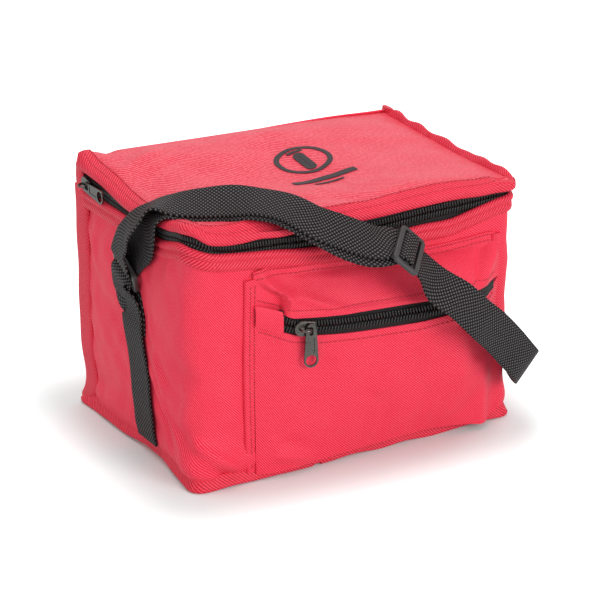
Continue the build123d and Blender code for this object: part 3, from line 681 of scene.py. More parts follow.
def wall_form(s, z):
    """How far the padded wall stands out from its flat outline, before it puckers."""
    up = np.clip(z / rim_top(s), 0, 1)
    middle = np.sin(pi * up)
    y = rear - s
    x = s - at_front(0)
    left = 1 - ease(s, side_length - 20, side_length + 12)
    right = ease(s, wall_length - side_length - 10, wall_length - side_length + 20)
    left_belly = left * np.sin(pi * np.clip(s / side_length, 0.02, 0.98)) ** 0.7
    right_belly = right * np.sin(pi * np.clip((wall_length - s) / side_length, 0.02, 0.98)) ** 0.7
    swell = 2.6 * middle * (left_belly + right_belly)
    swell = swell + middle**0.6 * (0.5 * side_ripple(s, z) + 0.22 * fine_ripple(s, z))
    # cloth hangs over the base seam, most at the two front corners, and tucks in under itself
    corner_hang = np.exp(-((s - side_length - corner_length * 0.6) / 26)**2)
    hang = 1.8 + 4.2 * corner_hang + 1.4 * right
    swell = swell + hang * np.exp(-((z - 15) / 9)**2) * ease(z, 2, 11)
    # the cloth is held in beside the rear seams
    swell = swell - 1.6 * (1 - ease(s, 12, 26)) - 1.6 * ease(s, wall_length - 26, wall_length - 12)
    for *fold, reach in side_folds:
        swell = swell + crease(y, z, *fold) * (s < side_length + reach)
    for *fold, reach in front_folds:
        swell = swell + crease(x, z, *fold) * (s > side_length + reach)
    swell = folded(swell, s, z, right_folds)
    # the corners spread to the base seam's sharper ones
    left_turn = np.sin(pi * np.clip((s - side_length) / corner_length, 0, 1))**2
    swell = swell + 2.4 * left_turn * (1 - ease(z, 5, 45))
    # the middle of the left side is drawn in at the base
    drawn_in = smooth([(at_left(76), 0.0), (at_left(50), -0.5), (at_left(-5), 2.6),
                       (at_left(-30), 3.0), (at_left(-60), 1.6), (side_length + 12, 0.0)])
    return swell - drawn_in(s) * (1 - ease(z, 4, 40))


# y of the side webbing's middle at each height
webbing_route = smooth([(6, -14.4), (24, -13.6), (50, -11.0), (76, -7.2), (97, -2.6), (110, 1.0)])


def settle_walls():
    """Puckers of the front and sides. Pocket and side webbing are sewn down."""
    s = spaced(0, wall_length, 2.4)
    v = np.linspace(0, 1, 60)
    grid_s, grid_v = np.meshgrid(s, v)
    z = wall_foot + grid_v * (rim_top(grid_s) - wall_trim)
    place, out = outline(grid_s)
    points = place + out * wall_form(grid_s, z)[..., None]
    points[..., 2] = z
    held = sewn_edges(grid_s.shape, margin=4)
    x = grid_s - at_front(0)
    held[(x > -82) & (x < 106) & (z < 138)] = 1.0
    for side_y in (rear - grid_s, rear - (wall_length - grid_s)):
        held[(np.abs(side_y - webbing_route(z)) < 13) & (z < 112)] = 1.0
    return over_grid(puckers(points, out, held, 0.022, 1.0, low=-0.9, high=2.6), v, s)


wall_puckers = settle_walls()


def wall_swell(s, z):
    """How far the padded wall stands out from its flat outline."""
    return wall_form(s, z) + wall_puckers((z - wall_foot) / (rim_top(s) - wall_trim), s)


def wall_point(s, z, lift=0.0):
    """Point on the wall's cloth at s along it and height z."""
    place, out = outline(s)
    point = place + out * (wall_swell(s, z) + lift)[..., None]
    point[..., 2] = z
    return point, out


def wall_places(s, height, inset=0.0, square=wall_square):
    """Places for a tape along the wall: origin, out, up."""
    place, out = outline(s, inset, square)
    place[:, 2] = height(s)
    return [(p, o, upwards) for p, o in zip(place, out)]


# ------------------------------------------------------------------ body


def make_walls():
    """Front and sides in one padded cloth, and the back panel."""
    thick = 5.5
    s = spaced(0.5, wall_length - 0.5, 1.8)
    v = np.linspace(0, 1, 82)
    grid_s, grid_v = np.meshgrid(s, v)
    points = wall_point(grid_s, wall_foot + grid_v * (rim_top(grid_s) - wall_trim))[0]
    sides = skin("front_and_side_cloth", points, red_twill, thick=thick)
    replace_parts(sides, "front_side_panel", "front_side_foam")

    x = spaced(half_width - 0.4, -half_width + 0.4, 2.5)
    z = spaced(1.2, hinge_low, 2.5)
    grid_x, grid_z = np.meshgrid(x, z)
    belly = (np.sin(pi * (grid_z - z[0]) / (z[-1] - z[0]))
             * np.sin(pi * (half_width - grid_x) / (2 * half_width)))
    y = rear - 0.3 + 1.8 * belly**0.7 + 0.35 * side_ripple(grid_x, grid_z) * belly
    back = skin("back_cloth", np.stack([grid_x, y, grid_z], -1), red_twill, thick=thick)
    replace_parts(back, "back_panel", "back_foam")
    for piece in (sides, back):
        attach(piece, "bag")


def ring(half_wide, front_y, rear_y, front_radius, rear_radius, step=3.0):
    """Closed outline with rounded corners, seen from above: points and outward directions."""
    points, outs = [], []
    for centre_x, centre_y, radius, begin in (
        (-half_wide + rear_radius, rear_y - rear_radius, rear_radius, 90),
        (-half_wide + front_radius, front_y + front_radius, front_radius, 180),
        (half_wide - front_radius, front_y + front_radius, front_radius, 270),
        (half_wide - rear_radius, rear_y - rear_radius, rear_radius, 0),
    ):
        for angle in np.linspace(begin, begin + 90, 8):
            out = np.array([cos(radians(angle)), sin(radians(angle)), 0.0])
            points.append(np.array([centre_x, centre_y, 0.0]) + out * radius)
            outs.append(out)
    points, outs = np.array(points), np.array(outs)
    filled, sides = [], []
    for i in range(len(points)):
        k = (i + 1) % len(points)
        count = max(1, ceil(np.linalg.norm(points[k] - points[i]) / step))
        for t in np.arange(count) / count:
            filled.append(points[i] * (1 - t) + points[k] * t)
            side = outs[i] * (1 - t) + outs[k] * t
            sides.append(side / np.linalg.norm(side))
    return np.array(filled), np.array(sides)


def rim_at(points):
    """Height of the rim over points seen from above; level along the back."""
    x, y = points[..., 0], points[..., 1]
    side_s = np.where(x < 0, at_left(y), at_right(y))
    on_front = (y < front + 24) & (np.abs(x) < half_width - 20)
    s = np.where(on_front, at_front(x), side_s)
    return np.where(y > liner_high[1] - 1, hinge_low - 3, rim_top(s))


def shrunk(edge, sizes):
    """Loops of a share of the edge's size, each at its own height."""
    middle = edge.mean(0)
    loops = []
    for share, z in sizes:
        loop = middle + (edge - middle) * share
        loop[:, 2] = z
        loops.append(loop)
    return loops


def make_base_and_lining():
    """Padded base, and the wipe-clean lining inside."""
    edge = ring(half_width - 1.5, front + 1.5, rear - 1.5, 5.0, 2.0)[0]
    loops = shrunk(edge, ((0.02, 0.9), (0.6, 0.7), (0.92, 0.4), (0.985, 0.8), (1.0, 2.5),
                          (0.985, 4.6), (0.94, 6.0), (0.6, 6.2), (0.02, 6.2)))
    base = skin("base_cloth", loops, red_twill, loop=True)
    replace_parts(base, "bottom_panel", "bottom_foam")
    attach(base, "bag")

    inset = half_width - liner_high[0]
    edge = ring(liner_high[0] - 0.4, liner_low[1] + 0.4, liner_high[1] - 0.6,
                corner_radius - inset, 4.0)[0]
    middle = edge.mean(0)
    floor = liner_low[2] + 0.4
    loops = shrunk(edge, ((0.02, floor), (0.5, floor), (0.9, floor), (0.98, floor + 0.4)))
    crinkle = ripples(5, 22)
    top = rim_at(edge) - 1.0
    around = np.arange(len(edge)) * 3.0
    outwards = (edge - middle) / np.linalg.norm(edge - middle, axis=1)[:, None]
    for t in np.linspace(0, 1, 30):
        loop = edge.copy()
        loop[:, 2] = floor + 2 + t * (top - floor - 2)
        loop -= outwards * (1.2 + 0.5 * crinkle(around, loop[:, 2]) * sin(pi * t))[:, None]
        loops.append(loop)
    lining = skin("body_lining", loops, white_film, loop=True, thick=-0.5)
    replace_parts(lining, "inner_liner")
    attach(lining, "bag")


def make_bindings():
    """Folded tapes: round the base seam, along the rim inside and out, down the rear corners."""
    s = spaced(9.5, wall_length - 10.5, 2.2)
    # the outer rim tape: a rolled edge over a flat band that is stitched along its foot
    rim_profile = [(0.0, -0.6), (-1.0, 0.3), (-0.9, 1.3), (0.5, 2.1), (2.2, 1.5), (3.1, -0.2),
                   (2.9, -1.8), (1.7, -2.9), (1.5, -3.5), (2.3, -4.6), (2.5, -6.8), (2.0, -8.6),
                   (1.1, -9.2), (0.0, -9.0), (-0.2, -4.0)]
    outer = tape("rim_tape", wall_places(s, rim_top), rim_profile, red_tape_with_painted_shade, sharp=75)
    pieces = [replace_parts(outer, "rim_binding")]

    s = spaced(8, wall_length - 8, 2.5)
    inner_profile = [(-2.1, -0.5), (-2.2, 0.9), (-3.4, 1.5), (-6.8, 1.5), (-8.6, 0.9), (-9.2, -0.6),
                     (-9.3, -8.0), (-8.8, -8.6), (-8.0, -8.0), (-7.6, -1.6)]
    inner = tape("inner_rim_tape", wall_places(s, rim_top), inner_profile, red_tape_with_painted_shade, sharp=75)
    pieces.append(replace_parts(inner, "inner_rim_binding"))

    # base tape: folded over the seam allowance, which stands out like a fin; its ends overlap
    edge, outs = ring(half_width - 0.5, front + 0.5, rear - 0.5, 5.0, 3.0, step=2.2)
    round_s = lengths(edge[None], 1)
    wave = ripples(8, 34)
    overlap_x = -27.0
    start = int(np.argmin(np.hypot(edge[:, 0] - overlap_x, edge[:, 1] - edge[:, 1].min())))
    order = [(start + k) % len(edge) for k in range(len(edge) + 4)]
    fin_out = smooth([(-half_width, 3.6), (-60, 4.4), (0, 3.6), (40, 3.2), (half_width, 3.4)])
    places, sizes = [], []
    for count, index in enumerate(order):
        x, y = edge[index][:2]
        tilt = 0.7 * float(wave(round_s[index], 0.0))
        left_side = float(ease(-x, half_width - 14, half_width - 2))
        on_left = left_side * float(np.exp(-((y + 18) / 34)**2))
        rear_corner = float(np.exp(-(np.hypot(x + half_width, y - rear) / 12)**2))
        reach = float(fin_out(x)) - 2.0 * on_left + 1.5 * rear_corner
        lift = 2.6 * on_left + (1.1 if count >= len(edge) - 2 else 0.0)
        origin = edge[index] - outs[index] * 2.4 * on_left
        places.append((origin, outs[index], upwards))
        sizes.append((reach, lift + 0.2, tilt))

    def fin(index):
        reach, lift, tilt = sizes[index]
        tip = 1.2 + 0.7 * tilt + lift
        return [(-2.0, 0.6 + lift), (reach - 1.0, tip - 0.9), (reach + 0.3, tip - 0.4),
                (reach + 0.6, tip + 0.6), (reach - 0.1, tip + 1.6), (1.5, 6.8 + lift),
                (0.9, 8.2 + lift), (0.0, 8.8 + lift), (-1.2, 8.4 + lift), (-2.2, 4.0 + lift)]
    low = tape("base_seam_tape", places, fin, red_tape_with_painted_shade, sharp=75)
    pieces.append(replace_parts(low, "bottom_binding"))

    # rear corner tapes lie along the sides and stand out behind, pinched in above the base
    sway = ripples(21, 40)
    for side, name in ((-1, "left"), (1, "right")):
        places = []
        for height in spaced(3.0, rim + 1.5, 2.5):
            bend = 0.7 * float(sway(height, 40.0 * side))
            pinch = 6.0 * float(np.exp(-((height - 20) / 14)**2))
            flare = 2.5 * (1 - float(ease(height, 3, 12)))
            y = rear - 2.0 - pinch + flare + bend
            places.append((np.array([side * (half_width + 0.3), y, height]),
                           np.array([side * 1.0, -0.10, 0.0]), np.array([side * 0.10, 1.0, 0.0])))
        fin_profile = [(-1.4, -6.0), (-1.6, 2.5), (-1.2, 4.6), (-0.2, 5.4), (0.9, 4.9), (1.5, 3.4),
                       (1.7, 0.0), (1.8, -5.0), (1.6, -8.4), (1.0, -9.6), (0.0, -9.8)]
        corner = tape(f"rear_corner_tape_{name}", places, fin_profile, red_tape_with_painted_shade, sharp=75)
        pieces.append(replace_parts(corner, f"rear_binding_{name}"))
    for piece in pieces:
        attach(piece, "bag")


# ------------------------------------------------------------------ main zip


def flat_profile(low, high, near, far):
    """Thin upright strip between two heights and two distances outwards."""
    return [(near, low), (far, low), (far, high), (near, high)]


def make_main_zip():
    """Tape and coil on the body's rim, and their twins on the lid."""
    start, end = 10.0, wall_length - 10.0
    s = spaced(start, end, 2.5)
    lower = tape("lower_zip_tape", wall_places(s, np.zeros_like),
                 lambda i: flat_profile(rim_top(s[i]) - 6, zip_line(s[i]) - 0.5, -1.9, -1.0),
                 black_tape)
    upper = tape("upper_zip_tape", wall_places(s, np.zeros_like),
                 lambda i: flat_profile(zip_line(s[i]) + 0.5, lid_edge(s[i]) + 4.5, -1.9, -1.0),
                 black_tape)
    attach(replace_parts(lower, "main_zip_tape_lower"), "bag")
    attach(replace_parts(upper, "main_zip_tape_upper"), "lid")
    s = spaced(start, end, 3.0)
    place, out = outline(s, 0.35)
    for name, sign, body in (("lower", -1, "bag"), ("upper", 1, "lid")):
        place[:, 2] = zip_line(s) + sign * row_half
        coil = along_seams(f"{name}_zip_coil", [(place, out)], tooth, tooth_pitch, black_coil,
                           slant=sign * turn_slant, unevenness=0.02)
        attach(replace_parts(coil, f"main_zip_coil_{name}"), body)


# ------------------------------------------------------------------ lid


# height of the lid's rear edge along x
rear_edge = smooth([(-half_width, 165.2), (-80, 164.6), (0, 163.4), (70, 162.4),
                    (half_width, 160.5)])
band_height = 7.6
lid_ripple, lid_fine = ripples(31, 60), ripples(37, 21)
# pulls from the left edge, a full fold under the strap at the front left, a dip behind it
lid_folds = [((-96, 40), (-62, 62), 5.0, 1.3), ((-92, 26), (-50, 44), 4.5, -1.0),
             ((-92, -66), (-30, -70), 4.0, 0.8), ((-98, -48), (-50, -60), 5.0, -1.6)]


def lid_form(x, y):
    """Height of the lid's top cloth, hung between its four edges and slightly crowned."""
    u = np.clip((x + half_width) / (2 * half_width), 0, 1)
    v = np.clip((rear - y) / (rear - front), 0, 1)
    left, right = lid_edge(at_left(y)) + band_height, lid_edge(at_right(y)) + band_height - 3.6
    near, far = lid_edge(at_front(x)) + band_height, rear_edge(x)
    near_left = lid_edge(left_corner) + band_height
    near_right = lid_edge(at_front(104.0)) + band_height - 2
    far_left, far_right = rear_edge(-half_width), rear_edge(half_width)
    hung = ((1 - u) * left + u * right + (1 - v) * far + v * near
            - (1 - u) * (1 - v) * far_left - u * (1 - v) * far_right
            - (1 - u) * v * near_left - u * v * near_right)
    inside = (1 - (2 * u - 1)**6) * (1 - (2 * v - 1)**6)
    height = hung + 2.2 * inside + inside * (0.5 * lid_ripple(x, y) + 0.16 * lid_fine(x, y))
    # the edge rolls over, most on the left
    height = height - 3.6 * (1 - ease(x + half_width, 0, 13)) * (1 - ease(y, rear - 18, rear))
    height = height - 2.0 * (1 - ease(y - front, 0, 8)) * ease(half_width - x, 4, 20)
    # the rear left corner stands up in a small roll, with a dip beside it
    height = height + 1.8 * np.exp(-((x + 106) / 7)**2 - ((y - rear) / 12)**2)
    height = height - 1.6 * np.exp(-((x + 92) / 4.5)**2 - ((y - rear) / 9)**2)
    height = folded(height, x, y, lid_folds)
    # the strap's pull has sunk the lid's front left part
    height = height - 1.6 * np.exp(-((x + 62) / 34)**2 - ((y + 66) / 20)**2)
    return height + crease(x, y, (-30, -48), (20, -66), 7.0, -1.2)


def settle_lid():
    """Puckers of the lid's cloth between its four seams."""
    x, y = spaced(-half_width, half_width, 2.6), spaced(front, rear, 2.6)
    grid_x, grid_y = np.meshgrid(x, y)
    points = np.stack([grid_x, grid_y, lid_form(grid_x, grid_y)], -1)
    held = sewn_edges(grid_x.shape, margin=4)
    return over_grid(puckers(points, upwards, held, 0.012, 0.5, low=-1.2, high=1.2), y, x)


lid_puckers = settle_lid()


def lid_surface(x, y):
    """Height of the lid's top cloth."""
    return lid_form(x, y) + lid_puckers(y, x)


def lid_point(x, y, lift=0.0):
    """Point on the lid's top cloth, or so far above it."""
    return np.stack([x, y, lid_surface(x, y) + lift], -1)


def lid_rows(inset, rear_y, step):
    """Rows of points over the lid's plan, dense round its front corners."""
    radius = corner_radius - inset
    ys = list(spaced(rear_y, front + corner_radius, step))
    angles = np.linspace(0, pi / 2, 9)[1:]
    ys += [front + corner_radius - radius * sin(a) for a in angles]
    straight = len(ys) - len(angles)
    left = [half_width - inset] * straight
    left += [half_width - corner_radius + radius * cos(a) for a in angles]
    right = [half_width - inset] * straight
    right += [half_width - corner_radius + radius * cos(a / 2.2) for a in angles]
    share = np.linspace(0, 1, int(2 * half_width / step))
    return np.array([[(-a + (a + b) * t, y) for t in share] for a, b, y in zip(left, right, ys)])


def make_lid():
    """Padded lid cloth with its lining, and the hinge cloth behind."""
    plan = lid_rows(0.3, rear - 1.2, 2.0)
    top = lid_point(plan[..., 0], plan[..., 1])
    cloth = skin("lid_cloth", top[::-1], lid_twill, thick=4.2)
    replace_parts(cloth, "lid_panel", "lid_foam")
    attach(cloth, "lid")

    plan = lid_rows(2.2, rear - 4.0, 3.0)
    under = lid_point(plan[..., 0], plan[..., 1], -5.6)
    lining = skin("lid_lining", under[::-1], white_film, thick=0.6)
    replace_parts(lining, "lid_liner")
    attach(lining, "lid")

    x = spaced(-half_width + 1.8, half_width - 1.8, 3.0)
    rows = []
    for t in np.linspace(0, 1, 15):
        z = (1 - t) * (hinge_low - 4.0) + t * (rear_edge(x) + 0.2)
        y = rear - 0.4 + 1.5 * sin(pi * t) - 1.0 * ease(t, 0.85, 1.0)
        rows.append(np.stack([x, np.full_like(x, y), z], -1))
    hinge = skin("hinge_cloth", np.array(rows)[:, ::-1], red_twill, thick=1.0)
    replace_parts(hinge, "lid_hinge_cloth")
    hinge_ends = []
    for side in (-1, 1):
        places = [(np.array([side * (half_width + 0.2), rear - 3.0 + 1.3 * sin(pi * t), z]),
                   np.array([side * 1.0, 0.0, 0.0]), np.array([0.0, 1.0, 0.0]))
                  for t, z in zip(np.linspace(0, 1, 12), np.linspace(145.0, 162.5, 12))]
        strip = [(-1.6, -5.5), (-1.6, 3.4), (-0.6, 4.6), (0.8, 4.3), (1.5, 2.4), (1.7, -1.0),
                 (1.5, -5.2), (0.6, -6.4)]
        hinge_ends.append(tape("hinge end", places, strip, red_tape_with_painted_shade, sharp=75))
    hinge_ends = joined("hinge_end_tapes", hinge_ends)
    for piece in (hinge, hinge_ends):
        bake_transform(piece)


def make_lid_band():
    """Binding round the lid: rolled over on the left and front, a standing fin on the right."""
    s = spaced(1.0, wall_length - 1.0, 2.0)
    frill = ripples(41, 17)
    fin_top = smooth([(at_right(front + 4), 157.0), (at_right(-66), 160.4), (at_right(-26), 160.9),
                      (at_right(9), 161.5), (at_right(40), 162.0), (at_right(60), 163.0),
                      (at_right(72), 161.8), (at_right(rear), 160.4)])
    places = wall_places(s, lid_edge, square=lid_square)

    def section(index):
        here = s[index]
        standing = float(ease(here, at_front(97), at_right(-62)))
        frilled = float(frill(here, 0.0)) * standing
        origin_z = float(lid_edge(here))

        def on_top(inwards):
            place = outline(here, inwards, lid_square)[0]
            return float(lid_surface(place[0], place[1])) - origin_z
        rolled = [(0.2, -0.1), (1.5, -0.4), (2.3, 0.6), (2.5, 2.2), (1.9, 3.9),
                  (0.6, on_top(0.0) + 0.7), (-1.8, on_top(2.0) + 1.2), (-4.2, on_top(4.2) + 1.25),
                  (-6.8, on_top(6.8) + 1.1), (-8.2, on_top(8.2) + 0.7), (-8.4, on_top(8.4) - 0.5),
                  (-1.4, 2.4), (-0.4, 0.9)]
        top, tip = on_top(2.0), float(fin_top(here)) - origin_z + 0.6 * frilled
        fin = [(0.2, -0.1), (1.4, -0.3), (2.1, 0.7), (2.2, 3.4), (2.0 + 0.4 * frilled, 5.6),
               (1.9 + 0.5 * frilled, tip - 1.0), (1.1 + 0.5 * frilled, tip),
               (-0.3 + 0.4 * frilled, tip - 0.5), (-1.2 + 0.3 * frilled, tip - 2.6),
               (-1.9, top + 0.6), (-2.2, top - 1.2), (-1.0, 2.4), (-0.2, 0.9)]
        return [(a[0] * (1 - standing) + b[0] * standing, a[1] * (1 - standing) + b[1] * standing)
                for a, b in zip(rolled, fin)]
    band = tape("lid_edge_tape", places, section, red_tape_with_painted_shade, sharp=75)
    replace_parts(band, "lid_binding")
    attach(band, "lid")


def make_lid_print():
    """Plain transfer print: a ring with a capped tube in it, and two bars in front of it."""
    centre_x, centre_y, radius, line = 13.5, 13.0, 18.5, 3.4
    lift, thick = 0.3, 0.22
    turn = np.linspace(0, 2 * pi, 97)

    def draped(plan_x, plan_y):
        return lid_point(plan_x, plan_y, lift)[::-1]

    def circle(r):
        return np.stack([centre_x + r * np.cos(turn), centre_y + r * np.sin(turn)], -1)

    def tube(half_long, r):
        shift = np.where(np.sin(turn) >= 0, 1, -1) * (half_long - r)
        side = np.stack([centre_x + r * np.cos(turn), centre_y - 2 + shift + r * np.sin(turn)], -1)
        return np.concatenate([side[:-1], side[:1]])

    def band(inner, outer):
        plan = np.array([inner * (1 - t) + outer * t for t in np.linspace(0, 1, 4)])
        return draped(plan[..., 0], plan[..., 1])

    def bar(middle_x, middle_y, long, wide):
        plan_x, plan_y = np.meshgrid(middle_x + np.linspace(-long / 2, long / 2, 24),
                                     middle_y + np.linspace(-wide / 2, wide / 2, 4))
        return draped(plan_x, plan_y)
    half_tube, half_wide, cap = 0.62 * radius, 0.2 * radius, 2.6
    shapes = (
        band(circle(radius), circle(radius - line)),
        band(tube(half_tube, half_wide), tube(half_tube - half_wide + 0.1, 0.1)),
        bar(centre_x, centre_y + half_tube + 0.4, 2.8 * half_wide, cap),
        bar(centre_x - 2.0, -17.5, 44.0, 5.4),
        bar(centre_x - 3.0, -25.0, 20.0, 2.2),
    )
    parts = [skin(f"print part {i}", shape, black_ink, thick=thick)
             for i, shape in enumerate(shapes)]
    ink = joined("lid_print_ink", parts)
    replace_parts(ink, "lid_print")
    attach(ink, "lid")


# ------------------------------------------------------------------ pocket
# all along x: height of the zip and how far it stands off the front wall, heights of the pocket's
# top and foot, how far the foot stands out, and where the pleat lies at each height
pocket_left, pocket_right = -69.0, 95.5
pocket_flange_left, pocket_flange_right = -77.0, 102.0
pocket_zip_z = smooth([(-72, 108), (-62, 104.6), (-54, 101.2), (-48, 98.9), (-42, 98), (-30, 96.7),
                       (-15, 95.9), (0, 95.8), (20, 96), (35, 96.3), (50, 97.2), (61.5, 97.9),
                       (70, 97.6), (80, 97), (87, 97.2), (93, 98.4), (99, 101.4), (104, 104.5)])
pocket_zip_out = smooth([(-72, 1.6), (-69, 2.2), (-62, 4.2), (-55, 6.6), (-51, 7.6), (-30, 11.1),
                         (0, 15.9), (30, 20.7), (52, 24.2), (61.5, 25.6), (67, 24.6), (74, 20.4),
                         (81, 15.3), (88, 10.2), (94, 6.5), (99, 4.2), (103, 3.0)])
pocket_top = smooth([(-77, 134.5), (-66, 136.5), (-46, 135), (-20, 133), (5, 130.5), (50, 127.6),
                     (79, 128), (95, 128.5), (102, 127)])
pocket_foot = smooth([(-77, 4.5), (-60, 4.0), (-30, 4.8), (20, 6.0), (50, 6.5), (75, 5.2),
                      (88, 4.0), (102, 5.5)])
pocket_foot_out = smooth([(-72, 3.2), (-69, 4.5), (-55, 6.4), (-30, 5.8), (20, 5.0), (55, 5.2),
                          (80, 9.0), (87, 10.4), (92, 7.0), (95.5, 3.6), (102, 2.4)])
# half the height of the zip's tapes: they narrow to a point at the right end
half_tape = smooth([(-80, 6.9), (64, 6.9), (77, 5.9), (86, 5.2), (93, 4.0), (99, 1.4), (104, 0.8)])
pocket_wave, pocket_fine = ripples(51, 44), ripples(57, 15)
pleat_x = smooth([(96, -55.5), (104, -54.5), (110, -54), (120, -56), (125, -64), (136, -70)])
lower_folds = [((-20, 78), (-52, 34), 6.0, -1.3), ((36, 86), (2, 34), 9.0, 1.5),
               ((-44, 84), (-12, 76), 5.0, 1.0), ((60, 88), (70, 24), 8.0, 0.9),
               ((-62, 16), (-34, 9), 4.0, 2.2), ((-58, 24), (-38, 20), 4.0, -1.5)]
# the last two are the fold and its hollow by the zip's right end
upper_folds = [((-66, 131), (-50, 112), 4.5, 4.2), ((-54, 121), (-14, 104), 3.2, 2.2),
               ((-50, 128), (0, 121), 2.6, 0.7), ((10, 118), (60, 112), 7.0, -1.6),
               ((98, 122), (80, 102), 4.5, 3.4), ((93, 125), (71, 104), 2.8, -3.8)]


def slot_half(x):
    """Half the height of the slot that the pocket's two cloths leave over the zip."""
    return np.maximum(half_tape(x) - 1.6, 0.5 * half_tape(x))


def slot_low(x):
    """Height of the lower panel's folded edge beside the zip."""
    return pocket_zip_z(x) - slot_half(x)


def slot_high(x):
    """Height of the upper panel's folded edge beside the zip."""
    return pocket_zip_z(x) + slot_half(x)


def pocket_lower_form(x, z):
    """How far the lower panel stands off the front wall, before it puckers."""
    top = pocket_zip_z(x) - half_tape(x)
    t = np.clip((z - pocket_foot(x)) / (top - pocket_foot(x)), 0, 1)
    side = np.sin(pi * np.clip((x - pocket_left) / (pocket_right - pocket_left), 0, 1))
    out = pocket_foot_out(x) * (1 - t) + pocket_zip_out(x) * t
    waves = 0.5 * pocket_wave(x, z) + 0.2 * pocket_fine(x, z)
    out = out + np.sin(pi * t) * side**0.5 * (1.6 + waves)
    return folded(out, x, z, lower_folds) + 0.9 * ease(t, 0.9, 0.97)


def pocket_upper_form(x, z):
    """The same for the upper panel: a slope down to its seam, with a pleat at the left."""
    low = pocket_zip_z(x) + half_tape(x)
    margin = pocket_top(x) - 6.0
    t = np.clip((z - low) / (margin - low), 0, 1)
    full = 0.8 + pocket_zip_out(x) * (1 - t)**0.85 + 2.6 * np.sin(pi * t) * ease(x, -60, -40)
    full = full + 0.5 * np.sin(pi * t) * pocket_wave(x, z + 50)
    full = folded(full, x, z, upper_folds) + 0.9 * (1 - ease(t, 0.03, 0.12))
    # left of the pleat the cloth lies flat, and it stands up in a roll along the pleat
    flat = 1.4 + 0.25 * np.minimum(full, 6.0)
    rolled = np.maximum(full + 1.6 * np.exp(-((x - pleat_x(z) - 3) / 3.5)**2), 1.0)
    past_pleat = ease(x, pleat_x(z) - 1.2, pleat_x(z) + 1.4)
    return flat * (1 - past_pleat) + rolled * past_pleat


def pocket_surface(x, z, out):
    """Points so far out from the front wall."""
    return np.stack([x, front - out, z], -1)


def between(low, high, x, rows):
    """Grid of x and z that fills a panel between two heights, with its shares of the height."""
    v = np.linspace(0, 1, rows)
    grid_x, grid_v = np.meshgrid(x, v)
    return grid_x, low(grid_x) + grid_v * (high(grid_x) - low(grid_x)), v


def settled_panel(form, low, high, rows):
    """How far a pocket panel stands off the wall, with the puckers between its sewn edges."""
    x = spaced(pocket_left - 2.5, pocket_right + 2.5, 2.0)
    grid_x, z, v = between(low, high, x, rows)
    points = pocket_surface(grid_x, z, form(grid_x, z))
    held = sewn_edges(z.shape, margin=3)
    field = over_grid(puckers(points, forwards, held, 0.02, 0.8, low=-1.0, high=2.0), v, x)

    def out(x, z):
        return form(x, z) + field((z - low(x)) / (high(x) - low(x)), x)
    return out


pocket_lower_out = settled_panel(pocket_lower_form, pocket_foot, slot_low, 46)
pocket_upper_out = settled_panel(pocket_upper_form, slot_high, pocket_top, 20)


def make_pocket():
    """Two panels with the zip between, on seam strips pressed flat down both sides."""
    x = np.linspace(pocket_left - 2.5, pocket_right + 2.5, 112)
    gx, gz = between(pocket_foot, slot_low, x, 64)[:2]
    lower = skin("pocket_lower_cloth", pocket_surface(gx, gz, pocket_lower_out(gx, gz)), red_twill,
                 thick=1.1)
    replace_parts(lower, "pocket_lower_panel")
    gx, gz = between(slot_high, pocket_top, x, 34)[:2]
    upper = skin("pocket_upper_cloth", pocket_surface(gx, gz, pocket_upper_out(gx, gz)), red_twill,
                 thick=1.1)
    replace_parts(upper, "pocket_upper_panel")
    for piece, high in ((lower, 0.092), (upper, 0.036)):
        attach(piece, "bag")

    for name, left, right in (("left", pocket_flange_left, pocket_left - 0.3),
                              ("right", pocket_right + 0.3, pocket_flange_right)):
        z = spaced(6.0, 131.0 if name == "left" else 127.0, 2.0)
        bow = 1.1 * np.sin(pi * (z - z[0]) / (z[-1] - z[0]))
        places = [(np.array([left - b, front - 0.5, h]), np.array([1.0, 0, 0]), forwards)
                  for h, b in zip(z, bow)]
        wide = right - left
        profile = [(0.0, -0.6), (-0.3, 0.9), (0.4, 1.9), (1.4, 2.1), (2.6, 1.7), (wide, 1.5),
                   (wide, -0.6)]
        strip = tape(f"pocket_side_strip_{name}", places, profile, red_twill)
        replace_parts(strip, f"pocket_seam_strip_{name}")
        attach(strip, "bag")


def along_pocket_zip(x, up, lift):
    """Points along the pocket's zip, and their outward directions."""
    slope = pocket_zip_out(x + 0.5) - pocket_zip_out(x - 0.5)
    out = np.stack([-slope, -np.ones_like(x), np.zeros_like(x)], -1)
    out = out / np.linalg.norm(out, axis=1)[:, None]
    line = np.stack([x, front - pocket_zip_out(x), pocket_zip_z(x) + up], -1)
    return line + out * lift, out


